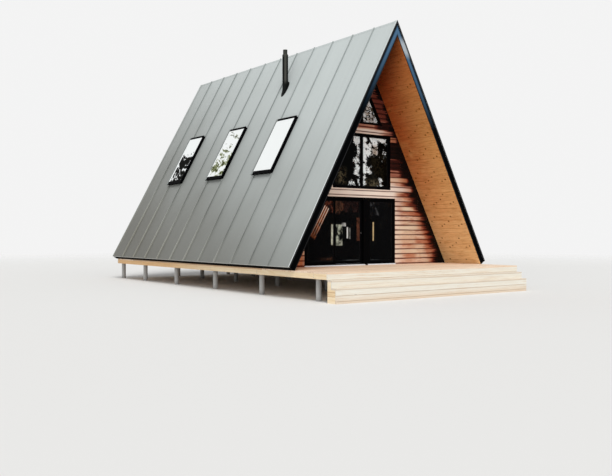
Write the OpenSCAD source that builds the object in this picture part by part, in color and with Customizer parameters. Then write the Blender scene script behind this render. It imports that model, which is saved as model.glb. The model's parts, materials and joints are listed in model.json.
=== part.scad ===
// A-frame cabin on a raised timber platform, in millimetres.
// X runs across the gables, Y from the front porch to the back, Z up from the lowest ground.
// The origin is on the ground, below the middle of the platform and steps.

/* [Roof] */
// Half of the roof's width, from the ridge line to the edge of an eave
roof_half_w = 3900; // [3600:50:4200]
// Height of the eave edge above the lowest ground
eave_z = 860; // [860:10:1100]
// Height of the roof's outer ridge line
apex_z = 8005; // [7800:5:8400]
// Whole thickness of the roof, square to its slope
roof_t = 212; // [200:2:240]
// Thickness of the metal covering with its underlay
metal_t = 12; // [6:1:16]
// Thickness of the pine lining boards
lining_t = 18; // [14:1:24]
// Number of metal sheets along the roof
bay_count = 12; // [12:1:12]
// Width of one metal sheet, from seam to seam
bay_w = 1000; // [980:5:1020]
// Height of a standing seam
seam_h = 38; // [20:1:45]
// Width of a standing seam
seam_w = 14; // [8:1:20]
// Width of the flashing along a rake
rake_trim_w = 115; // [80:5:150]
// Height of this flashing above the sheets
rake_trim_h = 9; // [4:1:15]
// Depth of the sheet metal's folded edge at the eaves and rakes
fold_h = 30; // [20:1:40]
// Thickness of a folded edge
fold_t = 3; // [2:1:4]
// Thickness of the black boards on the rakes
rake_board_t = 38; // [20:1:50]
// Thickness of the black board across the foot of a slope
eave_board_t = 25; // [18:1:40]
// Width of one wing of the ridge cap
ridge_wing = 60; // [40:5:120]
// Thickness of the ridge cap
ridge_cap_t = 4; // [2:1:8]

/* [Skylights] */
// Bays that hold a skylight, counted from the front
skylight_bays = [3, 6, 9];
// Width of a skylight along the roof
skylight_w = 1100; // [900:10:1150]
// Length of a skylight up the slope
skylight_l = 2070; // [1500:10:2200]
// Distance up the slope from the eave to a skylight
skylight_s = 3115; // [2900:5:3300]
// Height of a skylight above the metal
skylight_h = 92; // [60:2:140]
// Height of the sash that sits on the curb
skylight_sash_h = 28; // [24:1:40]
// How far the sash stands out past the curb
skylight_lip = 8; // [4:1:15]
// Width of the sash's rim
skylight_rim = 28; // [22:1:45]
// Thickness of the curb
curb_t = 45; // [30:1:60]

/* [Stove pipe] */
// Distance of the pipe's axis from the ridge line
pipe_x = 760; // [700:10:900]
// Place of the pipe along the roof
pipe_y = -450; // [-500:10:-400]
// Outer radius of the pipe
pipe_r = 98; // [80:1:110]
// Height of the outer pipe's top
pipe_top_z = 7790; // [7600:10:7900]
// Height of the cap's top
pipe_cap_z = 7965; // [7920:5:8000]

/* [Walls] */
// Distance from the front edge of the roof to the face of a gable wall
wall_recess = 1575; // [1400:25:1700]
// Thickness of a gable wall
wall_t = 165; // [140:5:200]

/* [Door unit] */
// Left and right edges of the door unit
door_x = [-2242, 1381];
// Left and right faces of the wide mullion between its two parts
mullion_x = [47, 253];
// Height of the door unit above the deck
door_h = 2105; // [2050:5:2150]
// Width of the outer frame
door_frame_w = 50; // [40:5:60]
// Width of a panel's stiles and rails
sash_w = 75; // [65:5:95]
// Thickness of a panel
sash_t = 40; // [35:1:45]
// Place of the meeting stiles of the two panels of the sliding door
meeting_x = -1102; // [-1120:1:-1080]
// Height of the aluminium sill
sill_h = 30; // [20:1:40]
// Free space round the sliding panel
slide_gap = 7; // [6:1:10]
// Height of the track that the sliding panel runs on
track_h = 22; // [15:1:25]
// Thickness of this track
track_t = 8; // [6:1:12]
// Depth of the channel that guides the panel's upper edge
channel_h = 20; // [14:1:25]

/* [Windows] */
// Half of the width of the window of the upper storey
loft_window_half_w = 1181; // [1000:1:1200]
// Height of its lower edge above the deck
loft_window_lift = 2382; // [2370:1:2400]
// Height of this window
loft_window_h = 1713; // [1600:1:1740]
// Half of the width of the triangular window at its foot
attic_half_w = 829; // [700:1:860]
// Height of this window's lower edge above the deck
attic_lift = 4398; // [4380:1:4440]
// Width of the triangular window's frame
attic_frame_w = 65; // [50:1:80]
// Width of the frame round the upper window
window_frame_w = 45; // [40:1:65]
// Width of the sashes in this frame
window_sash_w = 40; // [35:1:60]
// Thickness of a double pane
pane_t = 20; // [16:1:28]

/* [Platform] */
// Half of the platform's width
deck_half_w = 3725; // [3725:1:3800]
// How far the platform reaches in front of the roof
porch_out = 1410; // [1200:10:1600]
// How far the roof reaches past the platform at the back
deck_back_gap = 100; // [50:10:200]
// Thickness of the deck and floor boards
board_t = 38; // [25:1:45]
// Height of the rim boards and joists
joist_h = 140; // [120:5:190]
// Thickness of one rim board or joist
joist_t = 38; // [35:1:50]
// Rise of one step
step_rise = 190; // [170:5:195]
// Visible depth of one step
step_run = 175; // [150:5:200]
// Radius of a concrete pier
pier_r = 75; // [60:5:100]
// Thickness of the floor between the storeys
loft_floor_t = 220; // [180:10:240]

/* [Hidden] */
$fn = 48;
// A hair of room where two slanting faces meet
seat = 0.4;
// How far the rakes' folded edge stands out past the flashing and the eave's fold
hem = 1;

// The roof's slope: rise, length, and the cosine and sine of its angle
rise = apex_z - eave_z;
slope_len = sqrt(rise * rise + roof_half_w * roof_half_w);
ca = roof_half_w / slope_len;
sa = rise / slope_len;
slope_angle = atan2(rise, roof_half_w);
roof_len = bay_count * bay_w;
deck_z = eave_z - roof_t * ca;

// Places along Y, with the whole length centred on the origin
steps_out = 2 * step_run;
total_len = roof_len + porch_out + steps_out;
steps_front_y = -total_len / 2;
deck_front_y = steps_front_y + steps_out;
roof_front_y = deck_front_y + porch_out;
roof_back_y = roof_front_y + roof_len;
deck_back_y = roof_back_y - deck_back_gap;
front_wall_y = roof_front_y + wall_recess;
back_wall_y = roof_back_y - wall_recess;

// Depths of the roof's layers, counted inwards from the metal's face
core_top = metal_t;
core_foot = roof_t - lining_t;
board_top = core_top + seat;
board_foot = core_foot - seat;
seam_foot = metal_t / 2;
inner_apex_z = apex_z - roof_t / ca;

// The skylights stand against a seam on their front side and reach past the next one
skylight_shift = (skylight_w - bay_w) / 2;
curb_h = skylight_h - skylight_sash_h;

// The door unit
door_top_z = deck_z + door_h;
frame_proud = 12;
frame_front_y = front_wall_y - frame_proud;
frame_t = 132;
sill_top_z = deck_z + sill_h;
sill_nose = 30;
light_low_z = sill_top_z + 32;
light_high_z = door_top_z - 55;
outer_track_y = frame_front_y + 16;
inner_track_y = outer_track_y + sash_t + 12;
left_light_x = door_x[0] + door_frame_w;
right_light_x = door_x[1] - door_frame_w;
slide_x0 = meeting_x - sash_w / 2;
slide_x1 = mullion_x[0] - slide_gap;
slide_low_z = light_low_z + slide_gap;
slide_high_z = light_high_z + channel_h - slide_gap;
mullion_mid_x = (mullion_x[0] + mullion_x[1]) / 2;
mullion_foot_w = 100;

// The windows, and the split between the upper wall and the gable
loft_low_z = deck_z + loft_window_lift;
loft_high_z = loft_low_z + loft_window_h;
attic_low_z = deck_z + attic_lift;
gable_split_z = (loft_high_z + attic_low_z) / 2;
loft_light_inset = window_frame_w + window_sash_w;
loft_mullion_w = 92;
attic_mullion_w = 60;
pane_set_back = 60;

// The platform's levels
board_low_z = deck_z - board_t;
joist_low_z = board_low_z - joist_h;
beam_w = 2 * joist_t;
inner_row_x = 1180;
outer_row_x = 3550;
pier_ys = [-5950, -3280, -610, 2060, 4590, 6600];
joist_pitch = 600;
joist_reach = 5 * joist_pitch;
frame_half_w = deck_half_w - joist_t;
loft_floor_low_z = door_top_z + 30;
upper_tread_z = deck_z - step_rise;
lower_tread_z = upper_tread_z - step_rise;
upper_front_y = deck_front_y - step_run;
stringer_count = 5;

// A point of the left slope in X and Z: s runs up the slope, d runs in through its thickness
function at_slope(s, d) = [-roof_half_w + s * ca + d * sa, eave_z + s * sa - d * ca];
// Where a layer at depth d meets the ridge line
function ridge_s(d) = (roof_half_w - d * sa) / ca;
// Where a layer at depth d comes down to the deck
function deck_s(d) = (deck_z - eave_z + d * ca) / sa;
// Half of the clear width inside the lining at height z
function inner_x(z) = (inner_apex_z - z) * ca / sa - seat;
// The front edge of the skylight in a bay
function skylight_y(bay) = roof_front_y + bay * bay_w;

// An outline in X and Z, drawn out from y0 to y1
module along_y(y0, y1) {
    translate([0, y1, 0])
        rotate([90, 0, 0])
            linear_extrude(height = y1 - y0)
                children();
}

// The right side of the cabin mirrors the left
module side(right) {
    if (right) {
        mirror([1, 0, 0]) children();
    } else {
        children();
    }
}

// A frame on the left slope: X up the slope, Y along the roof, Z out of it
module on_slope(y, s, lift = 0) {
    corner = at_slope(s, -lift);
    translate([corner[0], y, corner[1]])
        rotate([0, -slope_angle, 0])
            children();
}

// The profile of a layer of the left slope between two depths, cut square at the foot and mitred
module layer(d0, d1, foot) {
    polygon([at_slope(foot, d0), at_slope(ridge_s(d0), d0), at_slope(ridge_s(d1), d1), at_slope(foot, d1)]);
}

// The room of a skylight's curb through the left slope, grown by a margin
module skylight_cuts(low, high, grow) {
    for (bay = skylight_bays) {
        on_slope(skylight_y(bay), skylight_s)
            translate([-grow, -grow, low])
                cube([skylight_l + 2 * grow, skylight_w + 2 * grow, high - low]);
    }
}

// The openings of the skylights through all layers of the slope
module skylight_shafts() {
    skylight_cuts(-2 * roof_t, roof_t, -curb_t);
}

// The opening for the stove pipe through the left slope
module pipe_cut(right) {
    if (!right) {
        translate([-pipe_x, pipe_y, eave_z])
            cylinder(r = pipe_r + 14, h = rise);
    }
}

module roof_slab(right) {
    color("burlywood")
        side(right)
            difference() {
                along_y(roof_front_y + rake_board_t + fold_t, roof_back_y - rake_board_t - fold_t)
                    layer(core_top, core_foot, eave_board_t);
                skylight_shafts();
                pipe_cut(right);
            }
}

// Standing seams, one between each two sheets, cut off square at the ridge
module seams(grow) {
    for (i = [1 : bay_count - 1]) {
        y = roof_front_y + i * bay_w;
        along_y(y - seam_w / 2 - grow, y + seam_w / 2 + grow)
            polygon([
                at_slope(0, -seam_h - grow), at_slope(slope_len, -seam_h - grow), at_slope(slope_len, 0),
                at_slope(ridge_s(seam_foot), seam_foot), at_slope(0, seam_foot)
            ]);
    }
}

// Metal sheets with a seam at each joint, raised flashing along the rakes and folded edges
module roof_metal(right) {
    color("lightslategray")
        side(right)
            difference() {
                union() {
                    along_y(roof_front_y, roof_back_y)
                        layer(0, metal_t, 0);
                    difference() {
                        seams(0);
                        skylight_cuts(-metal_t, skylight_h, seam_w);
                    }
                    for (y = [roof_front_y, roof_back_y - rake_trim_w]) {
                        along_y(y, y + rake_trim_w)
                            layer(-rake_trim_h, 1, 0);
                    }
                    for (y = [roof_front_y, roof_back_y - fold_t]) {
                        along_y(y, y + fold_t)
                            layer(-rake_trim_h - hem, fold_h + hem, -fold_t - hem);
                    }
                    along_y(roof_front_y, roof_back_y)
                        polygon([
                            at_slope(-fold_t, 0), at_slope(1, 0),
                            at_slope(1, metal_t), at_slope(0, metal_t),
                            at_slope(0, fold_h), at_slope(-fold_t, fold_h)
                        ]);
                }
                skylight_shafts();
                pipe_cut(right);
            }
}

// A low folded cap over the ridge line, notched where the seams run up to it
module ridge_cap() {
    low = ridge_s(0) - ridge_wing;
    foot = at_slope(low, -seat);
    edge = at_slope(low, -seat - ridge_cap_t);
    color("lightslategray")
        difference() {
            along_y(roof_front_y + rake_trim_w + seat, roof_back_y - rake_trim_w - seat)
                polygon([
                    foot, edge, [0, apex_z + (seat + ridge_cap_t) / ca],
                    [-edge[0], edge[1]], [-foot[0], foot[1]], [0, apex_z + seat / ca]
                ]);
            for (right = [false, true]) {
                side(right) seams(seat);
            }
        }
}

// Pine boards on the underside; their ends show at the gables
module lining(right) {
    color("peru")
        side(right)
            difference() {
                along_y(roof_front_y, roof_back_y)
                    polygon([
                        at_slope(deck_s(core_foot), core_foot), at_slope(ridge_s(core_foot), core_foot),
                        [0, inner_apex_z], at_slope(deck_s(roof_t), roof_t)
                    ]);
                skylight_shafts();
                pipe_cut(right);
            }
}

// A black board that closes the end of a slope at a gable, below the metal's folded edge
module rake_board(right, y) {
    color("black")
        side(right)
            along_y(y, y + rake_board_t)
                polygon([
                    at_slope(seat, board_top), at_slope(ridge_s(board_top), board_top),
                    at_slope(ridge_s(board_foot), board_foot), at_slope(deck_s(board_foot), board_foot),
                    at_slope(seat, fold_h + seat)
                ]);
}

// A black board across the foot of a slope
module eave_board(right) {
    color("black")
        side(right)
            along_y(roof_front_y + rake_board_t + fold_t, roof_back_y - rake_board_t - fold_t)
                polygon([
                    at_slope(seat, board_top), at_slope(eave_board_t - seat, board_top),
                    at_slope(eave_board_t - seat, board_foot), at_slope(deck_s(board_foot), board_foot),
                    at_slope(seat, fold_h + seat)
                ]);
}

// A flat ring that lies on the slope
module ring(outer_grow, wall, low, high) {
    translate([-outer_grow, -outer_grow, low])
        linear_extrude(height = high - low)
            difference() {
                square([skylight_l + 2 * outer_grow, skylight_w + 2 * outer_grow]);
                translate([wall, wall])
                    square([skylight_l + 2 * (outer_grow - wall), skylight_w + 2 * (outer_grow - wall)]);
            }
}

// Each skylight has an upright curb, and a glazed sash that overhangs the curb on all sides
module skylight_frames() {
    color("black")
        for (right = [false, true], bay = skylight_bays) {
            side(right)
                on_slope(skylight_y(bay), skylight_s, seat) {
                    ring(-skylight_lip, curb_t - skylight_lip, 0, curb_h);
                    ring(0, skylight_rim, curb_h, skylight_h);
                }
        }
}

module skylight_glass() {
    glass_lift = skylight_h - 4 - pane_t;
    color("lightblue")
        for (right = [false, true], bay = skylight_bays) {
            side(right)
                on_slope(skylight_y(bay), skylight_s, seat)
                    translate([skylight_rim, skylight_rim, glass_lift])
                        cube([skylight_l - 2 * skylight_rim, skylight_w - 2 * skylight_rim, pane_t]);
        }
}

// The flue pipe is a tube that comes up through the roof, with a ring near its top
module stove_pipe() {
    foot_z = inner_apex_z - (pipe_x + pipe_r) * sa / ca - 60;
    color("dimgray")
        translate([-pipe_x, pipe_y, 0])
            rotate_extrude()
                polygon([
                    [pipe_r - 25, foot_z], [pipe_r, foot_z], [pipe_r, pipe_top_z - 40],
                    [pipe_r + 4, pipe_top_z - 40], [pipe_r + 4, pipe_top_z - 20],
                    [pipe_r - 6, pipe_top_z], [pipe_r - 25, pipe_top_z]
                ]);
}

// The narrower end piece is closed by a shallow cone
module pipe_cap() {
    cap_r = pipe_r - 25;
    color("dimgray")
        translate([-pipe_x, pipe_y, 0])
            rotate_extrude()
                polygon([
                    [cap_r - 8, pipe_top_z - 60], [cap_r, pipe_top_z - 60], [cap_r, pipe_cap_z - 14],
                    [0, pipe_cap_z], [0, pipe_cap_z - 16], [cap_r - 8, pipe_cap_z - 28]
                ]);
}

// A storm collar: a sloping ring that follows the roof where the pipe comes out
module pipe_flashing() {
    color("dimgray")
        difference() {
            union() {
                intersection() {
                    translate([-pipe_x, pipe_y, eave_z])
                        cylinder(r = pipe_r + 45, h = rise);
                    along_y(pipe_y - 2 * pipe_r, pipe_y + 2 * pipe_r)
                        layer(-6, -seat, 0);
                }
                intersection() {
                    translate([-pipe_x, pipe_y, eave_z])
                        cylinder(r = pipe_r + 14, h = rise);
                    along_y(pipe_y - 2 * pipe_r, pipe_y + 2 * pipe_r)
                        layer(-42, -seat, 0);
                }
            }
            translate([-pipe_x, pipe_y, eave_z])
                cylinder(r = pipe_r, h = rise);
        }
}

module gable_front(y) {
    along_y(y, y + wall_t)
        children();
}

module front_wall_left() {
    color("sienna")
        gable_front(front_wall_y)
            polygon([
                [-inner_x(deck_z), deck_z], [door_x[0], deck_z],
                [door_x[0], door_top_z], [-inner_x(door_top_z), door_top_z]
            ]);
}

module front_wall_right() {
    color("sienna")
        gable_front(front_wall_y)
            polygon([
                [door_x[1], deck_z], [inner_x(deck_z), deck_z],
                [inner_x(door_top_z), door_top_z], [door_x[1], door_top_z]
            ]);
}

// The slanting outline of the gable between two heights
module gable_band(z0, z1) {
    polygon([[-inner_x(z0), z0], [inner_x(z0), z0], [inner_x(z1), z1], [-inner_x(z1), z1]]);
}

module gable_top(z0) {
    polygon([[-inner_x(z0), z0], [inner_x(z0), z0], [0, inner_apex_z - 2 * seat]]);
}

module loft_opening(inset = 0) {
    translate([-loft_window_half_w + inset, loft_low_z + inset])
        square([2 * (loft_window_half_w - inset), loft_window_h - 2 * inset]);
}

// The triangle of the attic window, with its sides parallel to the roof
module attic_opening(inset = 0) {
    half_w = attic_half_w - inset * (1 + ca) / sa;
    translate([0, attic_low_z + inset])
        polygon([[-half_w, 0], [half_w, 0], [0, half_w * sa / ca]]);
}

module front_wall_upper() {
    color("sienna")
        gable_front(front_wall_y)
            difference() {
                gable_band(door_top_z, gable_split_z);
                loft_opening();
            }
}

module front_gable() {
    color("sienna")
        gable_front(front_wall_y)
            difference() {
                gable_top(gable_split_z);
                attic_opening();
            }
}

// The back gable repeats the front one, turned round, with fixed glass in every opening
module turn_to_back() {
    translate([0, front_wall_y + back_wall_y, 0])
        rotate([0, 0, 180])
            children();
}

module door_opening() {
    translate([door_x[0], deck_z])
        square([door_x[1] - door_x[0], door_h]);
}

module rear_wall() {
    color("sienna")
        turn_to_back()
            gable_front(front_wall_y)
                difference() {
                    gable_top(deck_z);
                    door_opening();
                    loft_opening();
                    attic_opening();
                }
}

// The two lights of the door unit, on either side of the wide mullion
module door_lights() {
    for (x = [[left_light_x, mullion_x[0]], [mullion_x[1], right_light_x]]) {
        translate([x[0], light_low_z])
            square([x[1] - x[0], light_high_z - light_low_z]);
    }
}

// The outer frame stands on the sills; its mullion reaches down between them.
// A channel in the head takes the upper edge of the sliding panel.
module door_frame() {
    color("black") {
        difference() {
            along_y(frame_front_y, frame_front_y + frame_t)
                difference() {
                    translate([door_x[0], sill_top_z])
                        square([door_x[1] - door_x[0], door_top_z - sill_top_z]);
                    door_lights();
                }
            translate([left_light_x, inner_track_y - slide_gap, light_high_z - 1])
                cube([mullion_x[0] - left_light_x, sash_t + 2 * slide_gap, channel_h + 1]);
        }
        along_y(frame_front_y - sill_nose, frame_front_y + frame_t)
            translate([mullion_mid_x - mullion_foot_w / 2, deck_z])
                square([mullion_foot_w, sill_h]);
    }
}

// Aluminium sills with a rounded nose, and the track of the sliding panel
module door_sill() {
    nose_r = sill_h / 2;
    sill_len = frame_t + sill_nose;
    half_foot = mullion_foot_w / 2;
    color("silver") {
        for (x = [[door_x[0], mullion_mid_x - half_foot], [mullion_mid_x + half_foot, door_x[1]]]) {
            translate([x[0], frame_front_y + frame_t, deck_z])
                rotate([90, 0, 90])
                    linear_extrude(height = x[1] - x[0])
                        union() {
                            translate([-sill_len + nose_r, 0])
                                square([sill_len - nose_r, sill_h]);
                            translate([-sill_len, 0])
                                square([sill_len, sill_h / 2]);
                            translate([-sill_len + nose_r, sill_h - nose_r])
                                circle(r = nose_r);
                        }
        }
        translate([left_light_x, inner_track_y + (sash_t - track_t) / 2, light_low_z])
            cube([mullion_x[0] - left_light_x, track_t, track_h]);
    }
}

// The stiles and rails of a panel between x0 and x1
module panel_outline(x0, x1, z0, z1) {
    difference() {
        translate([x0, z0])
            square([x1 - x0, z1 - z0]);
        panel_light(x0, x1, z0, z1);
    }
}

module panel_light(x0, x1, z0, z1) {
    translate([x0 + sash_w, z0 + sash_w])
        square([x1 - x0 - 2 * sash_w, z1 - z0 - 2 * sash_w]);
}

// The fixed panels: left and right edges
fixed_x = [[left_light_x, meeting_x + sash_w / 2], [mullion_x[1], right_light_x]];
glass_inset = 12;

module fixed_panels() {
    color("black")
        for (x = fixed_x) {
            along_y(outer_track_y, outer_track_y + sash_t)
                panel_outline(x[0], x[1], light_low_z, light_high_z);
        }
}

module fixed_panes() {
    color("lightblue")
        for (x = fixed_x) {
            along_y(outer_track_y + glass_inset, outer_track_y + glass_inset + pane_t)
                panel_light(x[0], x[1], light_low_z, light_high_z);
        }
}

// The sliding panel has a groove over the track and a flush pull in its right stile
module sliding_panel() {
    groove_w = track_t + 2 * slide_gap;
    groove_h = track_h;
    pull_w = 30;
    pull_l = 190;
    pull_depth = 10;
    color("black")
        difference() {
            along_y(inner_track_y, inner_track_y + sash_t)
                panel_outline(slide_x0, slide_x1, slide_low_z, slide_high_z);
            translate([slide_x0 - 1, inner_track_y + (sash_t - groove_w) / 2, slide_low_z - 1])
                cube([slide_x1 - slide_x0 + 2, groove_w, groove_h + 1]);
            for (y = [inner_track_y - 1, inner_track_y + sash_t - pull_depth]) {
                translate([slide_x1 - sash_w / 2 - pull_w / 2, y, deck_z + 1000 - pull_l / 2])
                    cube([pull_w, pull_depth + 1, pull_l]);
            }
        }
}

module sliding_glass() {
    color("lightblue")
        along_y(inner_track_y + glass_inset, inner_track_y + glass_inset + pane_t)
            panel_light(slide_x0, slide_x1, slide_low_z, slide_high_z);
}

// The two lights of the upper window
module loft_lights() {
    half_mullion = loft_mullion_w / 2;
    light_w = loft_window_half_w - loft_light_inset - half_mullion;
    for (x = [-loft_window_half_w + loft_light_inset, half_mullion]) {
        translate([x, loft_low_z + loft_light_inset])
            square([light_w, loft_window_h - 2 * loft_light_inset]);
    }
}

// A deep frame round two thinner sashes that are set back in it
module loft_frame() {
    sash_set_back = 24;
    sash_depth = 62;
    color("black") {
        along_y(frame_front_y, frame_front_y + frame_t)
            difference() {
                loft_opening();
                loft_opening(window_frame_w);
            }
        along_y(frame_front_y + sash_set_back, frame_front_y + sash_set_back + sash_depth)
            difference() {
                loft_opening(window_frame_w);
                loft_lights();
            }
    }
}

module window_pane() {
    color("lightblue")
        along_y(frame_front_y + pane_set_back, frame_front_y + pane_set_back + pane_t)
            children();
}

module attic_lights() {
    difference() {
        attic_opening(attic_frame_w);
        translate([-attic_mullion_w / 2, attic_low_z])
            square([attic_mullion_w, rise]);
    }
}

module attic_frame() {
    color("black")
        along_y(frame_front_y, frame_front_y + frame_t)
            difference() {
                attic_opening();
                attic_lights();
            }
}

// Left and right edges of the three lights of the rear unit
rear_lights_x = [
    [left_light_x + sash_w, meeting_x - sash_w / 2],
    [meeting_x + sash_w / 2, mullion_x[0] - sash_w],
    [mullion_x[1] + sash_w, right_light_x - sash_w]
];

module rear_door_lights() {
    for (x = rear_lights_x) {
        translate([x[0], light_low_z + sash_w])
            square([x[1] - x[0], light_high_z - light_low_z - 2 * sash_w]);
    }
}

// The frames of the back gable: the same three, without a sliding panel
module rear_frames() {
    turn_to_back() {
        color("black")
            along_y(frame_front_y, frame_front_y + frame_t)
                difference() {
                    door_opening();
                    rear_door_lights();
                }
        loft_frame();
        attic_frame();
    }
}

module rear_panes() {
    turn_to_back()
        window_pane() {
            rear_door_lights();
            loft_lights();
            attic_lights();
        }
}

// Boards laid flat between two places along Y
module floor_boards(y0, y1) {
    translate([-deck_half_w, y0, board_low_z])
        cube([2 * deck_half_w, y1 - y0, board_t]);
}

module interior_floor() {
    color("tan") floor_boards(front_wall_y, back_wall_y);
}

module front_deck() {
    color("wheat") floor_boards(deck_front_y, front_wall_y);
}

module rear_deck() {
    color("wheat") floor_boards(back_wall_y, deck_back_y);
}

module loft_floor() {
    color("tan")
        along_y(front_wall_y + wall_t, back_wall_y - wall_t)
            gable_band(loft_floor_low_z, loft_floor_low_z + loft_floor_t);
}

module side_rims() {
    color("tan")
        for (x = [-deck_half_w, deck_half_w - joist_t]) {
            translate([x, deck_front_y + joist_t, joist_low_z])
                cube([joist_t, deck_back_y - deck_front_y - 2 * joist_t, joist_h]);
        }
}

module end_rims() {
    color("wheat")
        for (y = [deck_front_y, deck_back_y - joist_t]) {
            translate([-deck_half_w, y, joist_low_z])
                cube([2 * deck_half_w, joist_t, joist_h]);
        }
}

// Cross beams of two boards each, on the rows of piers
module inner_beams() {
    color("tan")
        for (y = pier_ys) {
            translate([-frame_half_w, y - beam_w / 2, joist_low_z])
                cube([2 * frame_half_w, beam_w, joist_h]);
        }
}

// Joists along the platform, hung between the end rims and the cross beams
module floor_joists() {
    bay_fronts = concat([deck_front_y + joist_t], [for (y = pier_ys) y + beam_w / 2]);
    bay_backs = concat([for (y = pier_ys) y - beam_w / 2], [deck_back_y - joist_t]);
    color("tan")
        for (bay = [0 : len(pier_ys)], x = [-joist_reach : joist_pitch : joist_reach]) {
            translate([x - joist_t / 2, bay_fronts[bay], joist_low_z])
                cube([joist_t, bay_backs[bay] - bay_fronts[bay], joist_h]);
        }
}

// Round concrete piers, four to a row, below the cross beams
module piers() {
    color("gray")
        for (y = pier_ys, x = [-outer_row_x, -inner_row_x, inner_row_x, outer_row_x]) {
            translate([x, y, 0])
                cylinder(r = pier_r, h = joist_low_z);
        }
}

// One step: a tread, and a riser board under its front edge
module step(front_y, back_y, top_z, foot_z) {
    color("cornsilk") {
        translate([-deck_half_w, front_y, top_z - board_t])
            cube([2 * deck_half_w, back_y - front_y, board_t]);
        translate([-deck_half_w, front_y, foot_z])
            cube([2 * deck_half_w, joist_t, top_z - board_t - foot_z]);
    }
}

module upper_step() {
    step(upper_front_y, deck_front_y, upper_tread_z, lower_tread_z);
}

module lower_step() {
    step(steps_front_y, upper_front_y + joist_t, lower_tread_z, 0);
}

// Stringers under both steps; the outer two close the steps' ends
module step_stringers() {
    reach = deck_half_w - joist_t / 2;
    color("wheat")
        for (i = [0 : stringer_count - 1]) {
            translate([-reach + i * 2 * reach / (stringer_count - 1) + joist_t / 2, 0, 0])
                rotate([0, -90, 0])
                    linear_extrude(height = joist_t)
                        polygon([
                            [0, deck_front_y], [0, steps_front_y + joist_t],
                            [lower_tread_z - board_t, steps_front_y + joist_t],
                            [lower_tread_z - board_t, upper_front_y + joist_t],
                            [upper_tread_z - board_t, upper_front_y + joist_t],
                            [upper_tread_z - board_t, deck_front_y]
                        ]);
        }
}

roof_slab(false);  // left_roof_slab
roof_slab(true);  // right_roof_slab
roof_metal(false);  // left_roof_metal
roof_metal(true);  // right_roof_metal
ridge_cap();
lining(false);  // left_lining
lining(true);  // right_lining
rake_board(false, roof_front_y + fold_t);  // front_left_rake
rake_board(true, roof_front_y + fold_t);  // front_right_rake
rake_board(false, roof_back_y - fold_t - rake_board_t);  // rear_left_rake
rake_board(true, roof_back_y - fold_t - rake_board_t);  // rear_right_rake
eave_board(false);  // left_eave_board
eave_board(true);  // right_eave_board
skylight_frames();
skylight_glass();
stove_pipe();
pipe_cap();
pipe_flashing();
front_wall_left();
front_wall_right();
front_wall_upper();
front_gable();
rear_wall();
door_frame();
door_sill();
fixed_panels();  // fixed_door_panels
fixed_panes();  // fixed_door_glass
sliding_panel();
sliding_glass();
loft_frame();  // loft_window_frame
window_pane() loft_lights();  // loft_window_glass
attic_frame();  // attic_window_frame
window_pane() attic_lights();  // attic_window_glass
rear_frames();  // rear_window_frames
rear_panes();  // rear_window_glass
interior_floor();
front_deck();
rear_deck();
loft_floor();
side_rims();
end_rims();
floor_joists();
inner_beams();
piers();
upper_step();
lower_step();
step_stringers();
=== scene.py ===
import json
import math

import bmesh
import bpy
from mathutils import Matrix, Vector


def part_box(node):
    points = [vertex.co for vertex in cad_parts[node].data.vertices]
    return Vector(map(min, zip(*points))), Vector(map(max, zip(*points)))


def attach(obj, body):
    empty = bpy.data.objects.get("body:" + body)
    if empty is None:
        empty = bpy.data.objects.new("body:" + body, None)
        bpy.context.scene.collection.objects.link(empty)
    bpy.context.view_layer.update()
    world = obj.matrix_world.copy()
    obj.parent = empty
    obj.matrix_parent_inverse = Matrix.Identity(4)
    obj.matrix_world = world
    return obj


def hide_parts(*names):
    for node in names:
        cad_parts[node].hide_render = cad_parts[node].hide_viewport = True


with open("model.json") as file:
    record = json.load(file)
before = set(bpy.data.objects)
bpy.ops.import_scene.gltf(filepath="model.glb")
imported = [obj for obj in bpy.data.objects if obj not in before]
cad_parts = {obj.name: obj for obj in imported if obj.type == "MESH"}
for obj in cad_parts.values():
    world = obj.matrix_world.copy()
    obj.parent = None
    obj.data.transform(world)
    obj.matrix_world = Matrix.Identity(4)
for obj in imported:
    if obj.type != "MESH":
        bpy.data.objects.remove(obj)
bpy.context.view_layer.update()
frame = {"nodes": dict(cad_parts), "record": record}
cadNodes = frame["nodes"]
scene = bpy.context.scene
print("frame loaded:", len(cadNodes), "nodes")

# The forms that everything else is measured from, in metres
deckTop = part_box("front_deck")[1].z
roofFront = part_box("left_roof_metal")[0].y
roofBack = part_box("left_roof_metal")[1].y
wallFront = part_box("front_wall_left")[0].y
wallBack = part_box("rear_wall")[1].y

roof = {
    "halfWidth": 3.9,        # ridge line to the eave's edge
    "eaveHeight": 0.86,
    "ridgeHeight": 8.005,
    "thickness": 0.212,
    "sheetWidth": 1.0,       # from seam to seam
    "sheets": 12,
    "seamHeight": 0.038,
    "flashingWidth": 0.115,
    "flashingHeight": 0.009,
    "skylightSheets": [3, 6, 9],
    "skylightFoot": 3.115,   # up the slope from the eave
    "skylightLength": 2.07,
    "skylightWidth": 1.1,
    "curb": 0.045,
}
slopeLength = math.hypot(roof["halfWidth"], roof["ridgeHeight"] - roof["eaveHeight"])
slopeCos = roof["halfWidth"] / slopeLength
slopeSin = (roof["ridgeHeight"] - roof["eaveHeight"]) / slopeLength
innerApex = roof["ridgeHeight"] - roof["thickness"] / slopeCos

pipe = {"x": -0.76, "y": -0.45, "radius": 0.098, "clamps": [7.16, 7.70]}
edgeBlack = (0.002, 0.002, 0.003)    # on the roof's edges


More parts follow.
